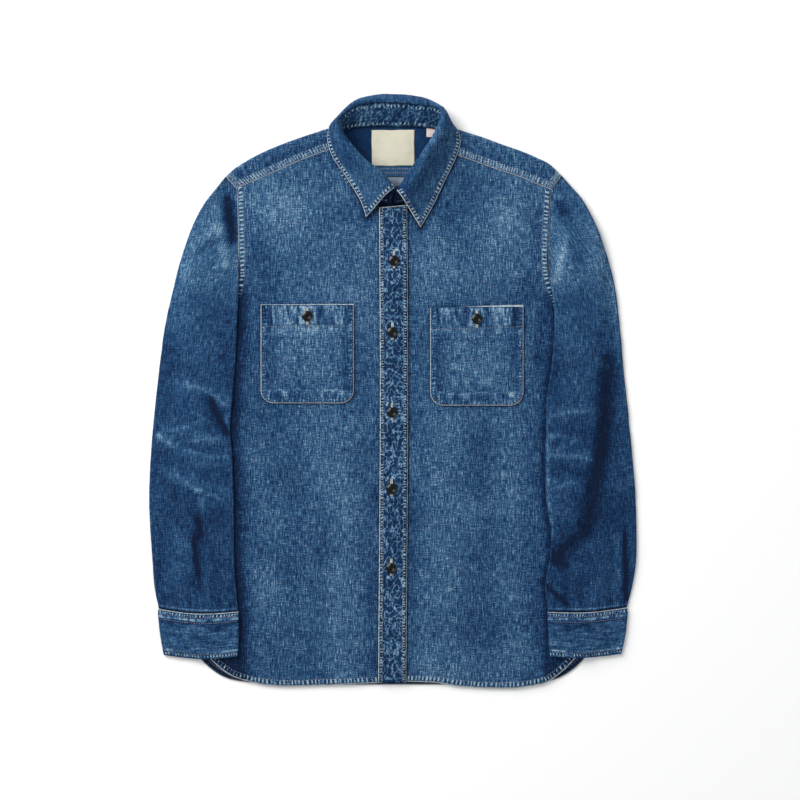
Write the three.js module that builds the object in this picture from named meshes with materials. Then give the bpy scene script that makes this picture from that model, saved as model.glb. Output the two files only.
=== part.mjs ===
import * as THREE from "three";

// A denim work shirt laid flat on its back, buttoned, sleeves beside the body.
// Millimetres, +Z up. +X is the wearer's left, +Y runs from the hem to the collar.
// The table top is the plane Z = 0 and the origin is the middle of the shirt's box.

// Driving sizes
const cloth = 1.2;              // one layer of washed denim
const doubled = 1.8;            // two pressed layers: collar, cuffs and placket
const seamGap = 0.3;            // between pieces that are sewn together
const layGap = 0.7;             // between a sleeve and the front that it lies on
const sideX = 263;              // half the width of the body
const flatHeight = 3;           // top of the front where it is pressed on the back
const puffHeight = 1.4;         // how much the open front stands above that
const shoulderHeight = 5.6;     // height of the soft fold along the shoulders
const sleeveRamp = 24;          // length over which a sleeve comes down off the body
const armholeGap = 0.45;        // between a sleeve's seam and the body, which lie edge to edge
const besideBody = 0.9;         // how far past the side a sleeve starts to come down
const placketLeft = -17.5;
const placketRight = 19;
const pocketBand = 28;          // depth of the hem across a pocket's top
const buttonRadius = 6.8;
const buttonHeight = 3;
const patchLift = 0.5;          // between a front and what is sewn on it
const bandLift = 0.6;           // how much a pocket's hem stands above the pocket

// Where the front is pressed flat, and over what length the puff comes back
const pressed = {
  sleeve: { start: 186, length: 40 },
  underFold: { start: 165, length: 50 },
  hem: { start: -300, length: 70, share: 0.7 },
  placket: { start: 20, length: 34, share: 0.75 },
};

// Tables: each row is one point, section or fold
function table(columns, rows) {
  return rows.map((row) => Object.fromEntries(columns.map((name, i) => [name, row[i]])));
}

const sides = {
  right: {
    // Sleeve seam from the shoulder down to the underarm; the first row is on the shoulder fold
    armhole: table(["x", "y"], [
      [-216, 281], [-210, 273], [-203, 265], [-201.5, 250], [-200.5, 211], [-200, 178],
      [-200, 148], [-207, 121], [-219, 94], [-238, 72], [-262, 62],
    ]),
    shoulder: table(["x", "y"], [
      [-216, 281], [-206, 290], [-189, 301], [-166, 313], [-142, 323], [-120, 331], [-97, 338.6],
      [-86, 342.2], [-76, 344],
    ]),
    yokeFront: table(["x", "y"], [
      [-203, 265], [-181, 274], [-158, 284], [-120, 301], [-90, 312.5], [-68, 320],
    ]),
    neckFront: table(["x", "y"], [[-68, 320], [-66, 304], [-59, 285], [-46, 268], [-30, 253], [-16, 243]]),
    hemFront: table(["x", "y"], [
      [-263, -315], [-251, -332], [-234, -349], [-211, -367], [-184, -376], [-151, -381], [-84, -380],
      [-36, -378], [0, -375],
    ]),
    hemBack: table(["x", "y"], [
      [-263, -319], [-251, -344], [-235, -360], [-216, -371], [-187, -376.5], [-120, -379.5], [0, -379.5],
    ]),
    // Sleeve sections: outer edge, inner edge, and how far the cloth stands open inside
    sleeve: table(["outX", "outY", "inX", "inY", "open"], [
      [-216, 281, -200, 148, 1.2],
      [-246, 240, -200, 112, 2.2],
      [-268, 189, -202, 72, 2.8],
      [-284, 136, -204, 32, 2.8],
      [-295, 88, -206, 8, 2.6],
      [-302, 42, -208.5, -22, 2.2],
      [-308, -12, -210, -49, 2.0],
      [-313, -68, -207.5, -81, 2.2],
      [-316, -127, -206, -125, 2.5],
      [-315, -166, -205, -164, 2.5],
      [-312, -217, -205, -215, 2.4],
      [-309, -254, -202, -256, 2.2],
      [-304, -281, -199, -283.5, 1.8],
    ]),
    sleeveFolds: table(["x1", "y1", "x2", "y2", "width", "rise"], [
      [-217, 262, -212, 222, 7, -1.5],
      [-213, 208, -248, 180, 8, -1.1],
      [-238, 226, -262, 158, 16, 0.9],
      [-239, 0, -220, -51, 7, -1.0],
      [-270, 12, -210, -10, 8, 0.8],
      [-291, -50, -222, -64, 8, 0.9],
      [-300, -68, -250, -92, 7, 0.8],
      [-284, -106, -214, -132, 8, 1.0],
      [-254, -160, -249, -188, 6, -1.1],
      [-257, -186, -249, -250, 7, -1.2],
      [-303, -217, -301, -278, 4, -0.9],
    ]),
    cuff: table(["outX", "outY", "inX", "inY"], [
      [-304.6, -281.6, -199, -284.2], [-305, -288, -199, -290], [-303, -309, -198.5, -312],
      [-300.5, -325, -199.5, -328], [-297.5, -341, -200.5, -342.5],
    ]),
    cuffSag: 4,
  },
  left: {
    armhole: table(["x", "y"], [
      [219, 282], [212, 271], [206.5, 263], [205, 246], [203, 211], [202, 185],
      [204, 150], [213.5, 123], [223, 95], [241, 71], [262, 60],
    ]),
    shoulder: table(["x", "y"], [
      [219, 282], [203, 297], [187, 305], [171, 312], [140, 323], [120, 330.5], [100, 336.8],
      [86, 341.2], [73, 343.5],
    ]),
    yokeFront: table(["x", "y"], [
      [206.5, 263], [186, 271], [168, 279], [140, 288], [101, 302], [68, 314],
    ]),
    neckFront: table(["x", "y"], [[68, 314], [66, 301], [59, 284], [46, 268], [30, 253], [16, 243]]),
    hemFront: table(["x", "y"], [
      [263, -315], [250, -332], [236, -347], [221, -362], [201, -376], [181, -381], [156, -384], [123, -384],
      [82, -381], [57, -377], [0, -375],
    ]),
    hemBack: table(["x", "y"], [
      [263, -321], [249, -346], [233, -361], [211, -373], [166, -379.5], [62, -379.5], [0, -379.5],
    ]),
    sleeve: table(["outX", "outY", "inX", "inY", "open"], [
      [219, 282, 204, 150, 1.2],
      [246, 249, 208.5, 118, 2.2],
      [270, 198, 210, 86, 2.6],
      [287, 145, 208, 56, 2.8],
      [294, 95, 205, 28, 2.8],
      [299, 42, 200.5, 0, 2.6],
      [306, -24, 199, -32, 2.2],
      [312, -90, 197.5, -88, 2.2],
      [316, -140, 199, -139, 2.4],
      [317, -185, 204.5, -180, 2.4],
      [316, -223, 204, -214, 2.3],
      [311, -255, 197.5, -246, 2.0],
      [305, -279, 201, -284, 1.8],
    ]),
    sleeveFolds: table(["x1", "y1", "x2", "y2", "width", "rise"], [
      [224, 197, 210, 148, 8, 1.2],
      [226, 232, 243, 172, 9, -1.1],
      [264, 206, 272, 120, 16, 0.8],
      [278, 22, 272, -76, 11, -1.3],
      [270, -86, 254, -172, 11, -1.4],
      [252, -182, 212, -210, 9, -1.2],
      [204, -24, 262, -24, 8, 0.9],
      [206, -80, 262, -84, 8, 0.9],
      [206, -116, 236, -122, 6, 0.8],
      [302, -180, 304, -272, 5, -1.0],
    ]),
    cuff: table(["outX", "outY", "inX", "inY"], [
      [305.4, -279.6, 201, -284.6], [306, -286, 201, -290], [304, -308, 201.5, -312],
      [301.5, -323, 202.5, -328], [297.5, -339.5, 204.5, -342.5],
    ]),
    cuffSag: 3,
  },
};

const backNeck = table(["x", "y"], [
  [-76, 344], [-62, 345.2], [-32, 346.8], [0, 348], [32, 346.8], [59, 345.2], [73, 343.5],
]);
const backSeam = table(["x", "y"], [[-201.5, 250], [-120, 268], [0, 280], [120, 268], [205, 246]]);

// Soft ridges (positive) and troughs (negative) pressed into the two fronts
const bodyFolds = table(["x1", "y1", "x2", "y2", "width", "rise"], [
  [-150, 250, -90, 150, 34, 0.7],
  [150, 250, 96, 150, 34, 0.7],
  [-192, 225, -150, 128, 12, -0.8],
  [194, 225, 176, 128, 12, -0.8],
  [197, 113, 189, 36, 7, -1.0],
  [178, 100, 172, 20, 10, 0.6],
  [-196, -24, -160, -33, 6, -0.9],
  [-26, -130, -28, -360, 8, -0.9],
  [-60, -60, -64, -350, 18, 0.7],
  [26, -130, 27, -330, 7, -0.8],
  [64, -40, 60, -340, 20, 0.7],
  [-120, -90, -140, -340, 16, -0.7],
  [-165, -120, -172, -340, 14, 0.6],
  [118, -60, 130, -320, 15, -0.7],
  [158, -140, 166, -350, 13, 0.6],
]);

// Collar sections from the wearer's right front end round the back of the neck to the left.
// base: the seam on the neck, roll: the top of the stand, crest: the fullest point of the
// leaf, edge: its outer edge. At the back the leaf turns down and lies on the table.
const collar = table(
  ["baseX", "baseY", "baseZ", "rollX", "rollY", "rollZ",
    "crestX", "crestY", "crestZ", "edgeX", "edgeY", "edgeZ"],
  [
    [-1.6, 245.5, 6.4, 3, 265, 19.5, -11, 253, 16.5, -34.1, 227.4, 6.1],
    [-24, 251, 5.6, -11, 284, 22, -21, 269, 20.5, -40.8, 247, 6.1],
    [-47, 270, 5.4, -34, 301, 23.5, -45, 289, 22, -60.3, 280, 6.4],
    [-64, 297, 5.8, -54.5, 324, 25, -64, 314, 22, -77.8, 306, 6.9],
    [-69, 317, 6.4, -64.5, 339, 25.5, -73.5, 332.5, 20, -84, 326, 7.4],
    [-71.5, 329, 6.8, -69, 350, 25.5, -79, 345, 18, -83.6, 338.5, 7.8],
    [-69, 338.5, 3.4, -63.2, 359.8, 23.5, -71.8, 356, 13, -76, 350, 7],
    [-52, 343.6, 2, -46.5, 370, 20.5, -48.5, 377.6, 10, -53, 354, 0.9],
    [-21, 346, 1.8, -19, 375, 18.5, -19.5, 385, 9.5, -25, 356, 0.9],
    [11, 346, 1.8, 11, 375, 17.5, 11, 385.6, 9.5, 6, 356.5, 0.9],
    [40, 344.5, 1.8, 38, 371.7, 18.5, 39, 381.5, 9.5, 36, 355, 0.9],
    [61, 341, 2.4, 61.5, 366, 22.5, 65, 368.2, 12, 60, 353, 2.4],
    [68.5, 334, 5.6, 61.5, 355.5, 25, 75, 352.6, 16.5, 77.5, 347.5, 7.6],
    [69, 322, 6.6, 56.5, 342, 25.5, 77.5, 341, 17.5, 86, 336.5, 7.8],
    [66, 301, 5.9, 48, 325.5, 25, 71.5, 327, 17, 88, 323, 7.2],
    [55, 280, 5.4, 35.5, 307.5, 24.5, 59.5, 306.5, 16, 82, 304, 6.5],
    [39, 261, 5.2, 23, 289, 23, 45.5, 278, 14.5, 68.5, 276, 6.2],
    [18, 248, 5.6, 12.5, 273, 21, 32.5, 256, 15, 52.5, 242, 6.1],
    [1.6, 245.5, 6.4, 6, 261.5, 19.5, 19.5, 241, 15, 36.5, 214, 6.1],
  ],
);

const buttonPlaces = table(["name", "x", "y"], [
  ["front_button_1", 2, 171], ["front_button_2", 0, 78], ["front_button_3", -0.5, -26],
  ["front_button_4", -1, -125], ["front_button_5", -1.5, -228],
]);

const pockets = table(["name", "midX", "topY", "bottomY", "tilt", "buttonY"], [
  ["pocket_right", -110.5, 114.5, -14, 0.2, 99],
  ["pocket_left", 109.5, 112, -17, 1.6, 95.5],
]);
const pocketWidth = 121;
const pocketCorner = 17;

const label = { minX: -27, maxX: 28.5, minY: 294.5, maxY: 341, thickness: 0.6 };
const tag = { minX: 44, maxX: 60, minY: 332, maxY: 344, thickness: 0.5 };

// Small measuring helpers
const mix = (a, b, t) => a + (b - a) * t;
const clamp01 = (t) => Math.min(1, Math.max(0, t));
const ease = (t) => clamp01(t) ** 2 * (3 - 2 * clamp01(t));

// Evenly spaced points on a smooth line through a table's rows
function alongCurve(points, steps) {
  const line = new THREE.CatmullRomCurve3(
    points.map((p) => new THREE.Vector3(p.x, p.y, p.z ?? 0)), false, "centripetal");
  return line.getSpacedPoints(steps).map((p) => ({ x: p.x, y: p.y, z: p.z }));
}

// A table's rows with extra points halfway along each straight step, so the corners stay
function halved(points) {
  return points.flatMap((p, i) => {
    if (i === points.length - 1) return [p];
    const next = points[i + 1];
    return [p, { x: mix(p.x, next.x, 0.5), y: mix(p.y, next.y, 0.5) }];
  });
}

function pointAt(points, t) {
  const place = clamp01(t) * (points.length - 1);
  const i = Math.min(Math.floor(place), points.length - 2);
  const a = points[i];
  const b = points[i + 1];
  return { x: mix(a.x, b.x, place - i), y: mix(a.y, b.y, place - i) };
}

// Height that a list of folds adds at a place: each is soft across and fades at its ends
function foldsAt(folds, x, y) {
  let sum = 0;
  for (const fold of folds) {
    const dx = fold.x2 - fold.x1;
    const dy = fold.y2 - fold.y1;
    const length = Math.hypot(dx, dy);
    const along = ((x - fold.x1) * dx + (y - fold.y1) * dy) / length;
    const across = ((x - fold.x1) * dy - (y - fold.y1) * dx) / length;
    const past = Math.max(-along, along - length, 0);
    sum += fold.rise * Math.exp(-((across / fold.width) ** 2) - (past / (fold.width * 1.6)) ** 2);
  }
  return sum;
}

// Top of the fronts
function frontTop(x, y) {
  const { sleeve: bySleeve, underFold, hem, placket: byPlacket } = pressed;
  const besideArmhole = ease((Math.abs(x) - bySleeve.start) / bySleeve.length);
  const underSleeve = besideArmhole * ease((underFold.start - y) / underFold.length);
  const nearHem = ease((hem.start - y) / hem.length);
  const nearPlacket = 1 - ease((Math.abs(x) - byPlacket.start) / byPlacket.length);
  const puff = puffHeight * (1 - underSleeve) * (1 - hem.share * nearHem) * (1 - byPlacket.share * nearPlacket);
  const folds = foldsAt(bodyFolds, x, y) * (1 - underSleeve) * (1 - nearPlacket);
  return Math.max(flatHeight, flatHeight + puff + folds);
}

// Distance outside the body's side or tail, zero on the body
function outsideBody(x, y) {
  const side = x < 0 ? sides.right : sides.left;
  let tail = -380;
  for (let i = 0; i < side.hemBack.length - 1; i += 1) {
    const a = side.hemBack[i];
    const b = side.hemBack[i + 1];
    const t = (x - a.x) / (b.x - a.x);
    if (t >= 0 && t <= 1) tail = mix(a.y, b.y, t);
  }
  return Math.max(0, Math.abs(x) - sideX, tail - y);
}

// What a sleeve or cuff lies on
function supportTop(x, y) {
  const inside = Math.sign(x) * Math.min(Math.abs(x), sideX);
  return (frontTop(inside, y) + layGap) * (1 - ease((outsideBody(x, y) - 0.5) / sleeveRamp));
}

// Closed solid from an outer and an inner grid of points. With around set, each row of the
// grid is a ring. keep(row, column) leaves out cells, and every open edge gets a rim.
function shell(outer, inner, { around = false, keep = () => true } = {}) {
  const rows = outer.length;
  const columns = outer[0].length;
  const cellColumns = around ? columns : columns - 1;
  const positions = [];
  const used = new Map();
  const corner = (layer, i, j) => {
    const key = `${layer},${i},${j % columns}`;
    if (!used.has(key)) {
      const p = (layer ? inner : outer)[i][j % columns];
      used.set(key, positions.length / 3);
      positions.push(p.x, p.y, p.z);
    }
    return used.get(key);
  };
  const faces = [];
  const apart = (a, b) => Math.hypot(...[0, 1, 2].map((axis) => positions[3 * a + axis] - positions[3 * b + axis]));
  // each cell is cut along its shorter diagonal, so two layers over one plan bend alike
  const quad = (a, b, c, d) => {
    if (apart(b, d) < apart(a, c) - 0.01) faces.push(a, b, d, b, c, d);
    else faces.push(a, b, c, a, c, d);
  };
  const has = (i, j) => {
    const column = around ? (j + columns) % columns : j;
    return i >= 0 && i < rows - 1 && column >= 0 && column < cellColumns && keep(i, column);
  };
  for (let i = 0; i < rows - 1; i += 1) {
    for (let j = 0; j < cellColumns; j += 1) {
      if (!has(i, j)) continue;
      quad(corner(0, i, j), corner(0, i + 1, j), corner(0, i + 1, j + 1), corner(0, i, j + 1));
      quad(corner(1, i, j), corner(1, i, j + 1), corner(1, i + 1, j + 1), corner(1, i + 1, j));
      if (!has(i - 1, j)) quad(corner(0, i, j), corner(0, i, j + 1), corner(1, i, j + 1), corner(1, i, j));
      if (!has(i + 1, j)) {
        quad(corner(0, i + 1, j + 1), corner(0, i + 1, j), corner(1, i + 1, j), corner(1, i + 1, j + 1));
      }
      if (!has(i, j - 1)) quad(corner(0, i + 1, j), corner(0, i, j), corner(1, i, j), corner(1, i + 1, j));
      if (!has(i, j + 1)) {
        quad(corner(0, i, j + 1), corner(0, i + 1, j + 1), corner(1, i + 1, j + 1), corner(1, i, j + 1));
      }
    }
  }
  const geometry = new THREE.BufferGeometry();
  geometry.setAttribute("position", new THREE.Float32BufferAttribute(positions, 3));
  geometry.setIndex(signedVolume(positions, faces) < 0 ? faces.reverse() : faces);
  geometry.computeVertexNormals();
  return geometry;
}

function signedVolume(positions, faces) {
  const point = (i) => new THREE.Vector3(...positions.slice(3 * i, 3 * i + 3));
  let volume = 0;
  for (let f = 0; f < faces.length; f += 3) {
    volume += point(faces[f]).dot(point(faces[f + 1]).cross(point(faces[f + 2])));
  }
  return volume;
}

// Flat panel between four edges, each a list of points; rows follow the left and right lists
function panelPlan(top, bottom, left, right) {
  const height = left[0].y - left[left.length - 1].y;
  return left.map((start, i) => {
    const v = (left[0].y - start.y) / height;
    return top.map((_, j) => {
      const u = j / (top.length - 1);
      const blend = (axis) => mix(top[j][axis], bottom[j][axis], v) + mix(start[axis], right[i][axis], u)
        - mix(mix(top[0][axis], top.at(-1)[axis], u), mix(bottom[0][axis], bottom.at(-1)[axis], u), v);
      return { x: blend("x"), y: blend("y") };
    });
  });
}

// One layer of cloth over a plan, with its top at a given height
function layer(plan, topAt, thickness) {
  const top = plan.map((row) => row.map((p) => ({ ...p, z: topAt(p.x, p.y) })));
  const under = top.map((row) => row.map((p) => ({ ...p, z: p.z - thickness })));
  return shell(top, under);
}

const denim = { color: 0x33608f, roughness: 0.92, metalness: 0 };
const looks = {
  denim,
  seam: { ...denim, color: 0x3f6c9b },
  button: { color: 0x17181c, roughness: 0.25, metalness: 0 },
  label: { color: 0xd9d4bb, roughness: 0.85, metalness: 0 },
};

const shirt = new THREE.Group();

function addPiece(name, geometry, look) {
  const mesh = new THREE.Mesh(geometry, new THREE.MeshStandardMaterial(looks[look]));
  mesh.name = name;
  shirt.add(mesh);
  return mesh;
}

// Body
const bodyRows = 10;            // rows below the underarm
const centreGap = 0.5;          // where the two fronts meet under the placket
const overlapX = 12;            // the right front reaches this far under the placket
const yokeSeamGap = 1.3 * seamGap;
const neckFrontY = 242;         // where the neck line ends at the front edge
const hemMiddleY = -375.5;      // where the hem ends at the front edge
const placketHalf = 30;         // hem points nearer to the middle than this are hidden by the placket
const flapStep = 0.6;           // how much the yoke stands above the front at its seam

function sideLine(side, bottomY) {
  const underarm = side.armhole.at(-1);
  const edge = Math.sign(underarm.x) * sideX;
  return Array.from({ length: bodyRows }, (_, i) => {
    return { x: edge, y: mix(underarm.y, bottomY, (i + 1) / bodyRows) };
  });
}

function frontPanel(name, side, centreX) {
  const left = [...side.armhole.slice(2), ...sideLine(side, side.hemFront[0].y)];
  left[0] = { x: left[0].x, y: left[0].y - yokeSeamGap };
  const neckEnd = { x: centreX, y: neckFrontY };
  const neck = [...side.neckFront.slice(0, -1), side.neckFront.at(-1), neckEnd];
  const underYoke = side.yokeFront.map((p) => ({ x: p.x, y: p.y - yokeSeamGap }));
  const top = [...underYoke.slice(0, -1), ...alongCurve(neck, 6)];
  const hem = side.hemFront.filter((p) => Math.abs(p.x) > placketHalf);
  const bottom = alongCurve([...hem, { x: centreX, y: hemMiddleY }], top.length - 1);
  const drop = left[0].y - left.at(-1).y;
  const right = left.map((p) => {
    return { x: centreX, y: mix(neckEnd.y, bottom.at(-1).y, (left[0].y - p.y) / drop) };
  });
  addPiece(name, layer(panelPlan(top, bottom, left, right), frontTop, cloth), "denim");
}

function backPanel() {
  const below = (side) => [...side.armhole.slice(3), ...sideLine(side, side.hemBack[0].y)];
  const top = alongCurve(backSeam.map((p) => ({ x: p.x, y: p.y - seamGap })), 12);
  const hem = [...sides.right.hemBack, ...sides.left.hemBack.slice(0, -1).reverse()];
  const bottom = alongCurve(hem, 12);
  const left = below(sides.right);
  const right = below(sides.left);
  left[0] = top[0];
  right[0] = top.at(-1);
  addPiece("back_panel", layer(panelPlan(top, bottom, left, right), () => cloth, cloth), "denim");
}

// The yoke lies under the neck, folds over at the shoulders and comes down to the front seam
function backYoke() {
  const flapColumns = 2 * (sides.right.yokeFront.length - 1);
  const neckColumns = 6;
  const backRows = 3;
  const flapRows = 4;
  const foldPoints = [
    ...alongCurve(sides.right.shoulder, flapColumns).slice(0, -1),
    ...alongCurve(backNeck, neckColumns).slice(0, -1),
    ...alongCurve([...sides.left.shoulder].reverse(), flapColumns),
  ];
  const frontPoints = [
    ...halved(sides.right.yokeFront),
    ...Array.from({ length: neckColumns - 1 }, () => null),
    ...halved(sides.left.yokeFront).reverse(),
  ];
  const backPoints = alongCurve(backSeam.map((p) => ({ x: p.x, y: p.y + seamGap })), foldPoints.length - 1);
  const radius = shoulderHeight / 2;
  const arcSteps = 4;
  const isNeck = (j) => j > flapColumns && j < flapColumns + neckColumns;
  const sections = foldPoints.map((fold, j) => {
    const back = backPoints[j];
    const front = frontPoints[j] ?? fold;
    const outward = { x: fold.x - back.x, y: fold.y - back.y };
    const reach = Math.hypot(outward.x, outward.y);
    const step = { x: outward.x / reach, y: outward.y / reach };
    const inset = isNeck(j) ? 0 : radius;
    const turn = { x: fold.x - step.x * inset, y: fold.y - step.y * inset };
    const outerLine = [];
    const innerLine = [];
    for (let i = 0; i <= backRows; i += 1) {
      const p = { x: mix(back.x, turn.x, i / backRows), y: mix(back.y, turn.y, i / backRows) };
      outerLine.push({ ...p, z: 0 });
      innerLine.push({ ...p, z: cloth });
    }
    for (let i = 1; i < arcSteps; i += 1) {
      const angle = (Math.PI * i) / arcSteps - Math.PI / 2;
      const reachOut = Math.cos(angle);
      const lift = Math.sin(angle);
      const at = (r) => ({
        x: turn.x + step.x * r * reachOut, y: turn.y + step.y * r * reachOut, z: radius + r * lift,
      });
      outerLine.push(at(radius));
      innerLine.push(at(radius - cloth));
    }
    for (let i = 0; i <= flapRows; i += 1) {
      const t = i / flapRows;
      const p = { x: mix(turn.x, front.x, t), y: mix(turn.y, front.y, t) };
      const seamTop = frontTop(p.x, p.y) + flapStep;
      const z = mix(shoulderHeight, seamTop, ease(t));
      outerLine.push({ ...p, z });
      innerLine.push({ ...p, z: z - cloth });
    }
    return { outerLine, innerLine };
  });
  const flipRows = (key) => sections[0][key].map((_, i) => sections.map((section) => section[key][i]));
  const keep = (i, j) => i < backRows || j < flapColumns || j >= flapColumns + neckColumns;
  addPiece("back_yoke", shell(flipRows("outerLine"), flipRows("innerLine"), { keep }), "denim");
}

// One ring of a sleeve or cuff: top from the outer to the inner edge, then the underside back.
// top, bottom: plan points; outDirection and inDirection point away from the cloth's edges.
function flatRing(topPath, bottomPath, outDirection, inDirection, thickness) {
  const arcSteps = 4;
  const outer = [];
  const inner = [];
  const put = (p, z, innerZ) => {
    outer.push({ x: p.x, y: p.y, z });
    inner.push({ x: p.x, y: p.y, z: innerZ });
  };
  const roundEdge = (high, low, direction, fromTop) => {
    const radius = (high.z - low.z) / 2;
    for (let i = 1; i < arcSteps; i += 1) {
      const angle = (fromTop ? 1 : -1) * (Math.PI / 2 - (Math.PI * i) / arcSteps);
      const bulge = Math.cos(angle);
      const base = { x: mix(high.x, low.x, 0.5), y: mix(high.y, low.y, 0.5) };
      const at = (r) => ({
        x: base.x + direction.x * r * bulge,
        y: base.y + direction.y * r * bulge,
        z: (high.z + low.z) / 2 + r * Math.sin(angle),
      });
      outer.push(at(radius));
      inner.push(at(Math.max(radius - thickness, 0.1)));
    }
  };
  topPath.forEach((p) => put(p, p.z, p.z - thickness));
  roundEdge(topPath.at(-1), bottomPath[0], inDirection, true);
  bottomPath.forEach((p) => put(p, p.z, p.z + thickness));
  roundEdge(topPath[0], bottomPath.at(-1), outDirection, false);
  return { outer, inner };
}

// Direction square to a line that runs down the shirt, to the side that sign gives
const awayFrom = (line, i, sign) => {
  const a = line[Math.max(0, i - 1)];
  const b = line[Math.min(line.length - 1, i + 1)];
  const length = Math.hypot(b.x - a.x, b.y - a.y);
  return { x: (-sign * (b.y - a.y)) / length, y: (sign * (b.x - a.x)) / length };
};

// How a sleeve is filled: the least and most air inside it, its arch and where it joins the body
const sleeveAir = { least: 0.35, most: 3.7, archBase: 0.45, archPower: 0.7 };
const sleeveJoin = { drop: 0.35, from: 0.72, easedRings: 2.5, underarmY: 58, perRing: 12, tableStart: 5.5 };
const foldRadius = cloth + 0.5;   // of the folds along a sleeve's two edges

function sleeve(name, side) {
  const sign = Math.sign(side.armhole[0].x);
  const rings = 16;
  const fanRings = 5;           // rings over which the armhole's curve straightens out
  const seamSteps = 6;          // steps of the armhole that show above the fold
  const outLine = alongCurve(side.sleeve.map((row) => ({ x: row.outX, y: row.outY })), rings);
  const inLine = alongCurve(side.sleeve.map((row) => ({ x: row.inX, y: row.inY })), rings);
  const seam = side.armhole.map((p) => ({ x: p.x + sign * armholeGap, y: p.y }));
  const onTop = halved(seam.slice(0, seamSteps + 1));
  const overBody = [...side.armhole.slice(seamSteps, -1), { x: sign * (sideX + besideBody), y: side.armhole.at(-1).y }];
  const shoulderPoint = seam[0];
  const backCorner = seam[3];
  const seamReach = Math.hypot(shoulderPoint.x - backCorner.x, shoulderPoint.y - backCorner.y);
  const shoulderWay = {
    x: (shoulderPoint.x - backCorner.x) / seamReach, y: (shoulderPoint.y - backCorner.y) / seamReach,
  };
  const onTable = [...seam].reverse();
  [1, 2].forEach((i) => {
    onTable[onTable.length - 1 - i] = {
      x: mix(shoulderPoint.x, backCorner.x, i / 3), y: mix(shoulderPoint.y, backCorner.y, i / 3),
    };
  });
  onTable[0] = { x: sign * (sideX + sleeveJoin.tableStart), y: onTable[0].y - 1 };
  const chordOffset = (points, t) => {
    const p = pointAt(points, t);
    return { x: p.x - mix(points[0].x, points.at(-1).x, t), y: p.y - mix(points[0].y, points.at(-1).y, t) };
  };
  const outers = [];
  const inners = [];
  for (let k = 0; k <= rings; k += 1) {
    const out = k === 0 ? onTop[0] : outLine[k];
    const inn = k === 0 ? onTop.at(-1) : inLine[k];
    const share = k / rings;
    const bend = Math.max(0, 1 - k / fanRings);
    const open = mixedOpen(side.sleeve, share);
    const bodyEdge = sideX + besideBody;
    const chordY = (x) => mix(inn.y, out.y, (x - inn.x) / (out.x - inn.x));
    const belowArmhole = (x) => Math.min(chordY(x), sleeveJoin.underarmY - sleeveJoin.perRing * Math.min(k, 2));
    const drop = { x: sign * bodyEdge, y: belowArmhole(sign * bodyEdge) };
    const landingX = drop.x + sign * Math.min((sleeveRamp * k) / 2, sleeveRamp);
    const landing = { x: landingX, y: belowArmhole(landingX) };
    const outDirection = k === 0 ? shoulderWay : awayFrom(outLine, k, sign);
    const inDirection = awayFrom(inLine, k, -sign);
    const fanned = (from, to, shape, startWithin = 0.01) => shape.map((corner, i) => {
      const t = i / (shape.length - 1);
      if (k === 0) return t === 0 ? { ...from } : t === 1 ? { ...to } : { ...corner };
      const extra = chordOffset(shape, t);
      const kept = bend * ease(t / startWithin);
      return { x: mix(from.x, to.x, t) + extra.x * kept, y: mix(from.y, to.y, t) + extra.y * kept };
    });
    const insetFor = (p, direction, height) => {
      return { x: p.x - direction.x * height, y: p.y - direction.y * height };
    };
    const outInset = insetFor(out, outDirection, k === 0 ? shoulderHeight / 2 : foldRadius);
    const inInset = k === 0 ? inn : insetFor(inn, inDirection, foldRadius + 0.4);
    const overPath = fanned(inInset, k === 0 ? overBody.at(-1) : drop, overBody);
    const tablePath = fanned(k === 0 ? onTable[0] : landing, outInset, onTable, 0.35);
    const topPath = fanned(outInset, inInset, onTop);
    const endShare = ease((k - rings + 4) / 4);
    [...overPath, ...tablePath, ...topPath].forEach((p) => {
      p.y -= endShare * seamSag(side, (p.x - inInset.x) / (outInset.x - inInset.x));
    });
    overPath.forEach((p) => { p.z = supportTop(p.x, p.y); });
    tablePath.forEach((p) => { p.z = supportTop(p.x, p.y) * clamp01(k / fanRings); });
    topPath.forEach((p, i) => {
      const t = i / (topPath.length - 1);
      const arch = mix(sleeveAir.archBase, 1, Math.sin(Math.PI * clamp01(t)) ** sleeveAir.archPower);
      const folds = foldsAt(side.sleeveFolds, p.x, p.y);
      const gap = Math.min(sleeveAir.most, Math.max(sleeveAir.least, open * arch + folds));
      const loose = supportTop(p.x, p.y) + 2 * cloth + gap;
      const sewn = mix(frontTop(p.x, p.y) - sleeveJoin.drop, loose, ease((t - sleeveJoin.from) / (1 - sleeveJoin.from)));
      const sewnTop = i === 0 ? shoulderHeight : sewn;
      p.z = mix(sewnTop, loose, ease(k / sleeveJoin.easedRings));
    });
    const ring = flatRing(topPath, [...overPath, ...tablePath], outDirection, inDirection, cloth);
    outers.push(ring.outer);
    inners.push(ring.inner);
  }
  addPiece(name, shell(outers, inners, { around: true }), "denim");
}

function mixedOpen(rows, share) {
  const place = share * (rows.length - 1);
  const i = Math.min(Math.floor(place), rows.length - 2);
  return mix(rows[i].open, rows[i + 1].open, place - i);
}

// How far the seam between a sleeve and its cuff dips, t of the way across
function seamSag(side, t) {
  return side.cuffSag * Math.sin(Math.PI * clamp01(t));
}

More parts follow.
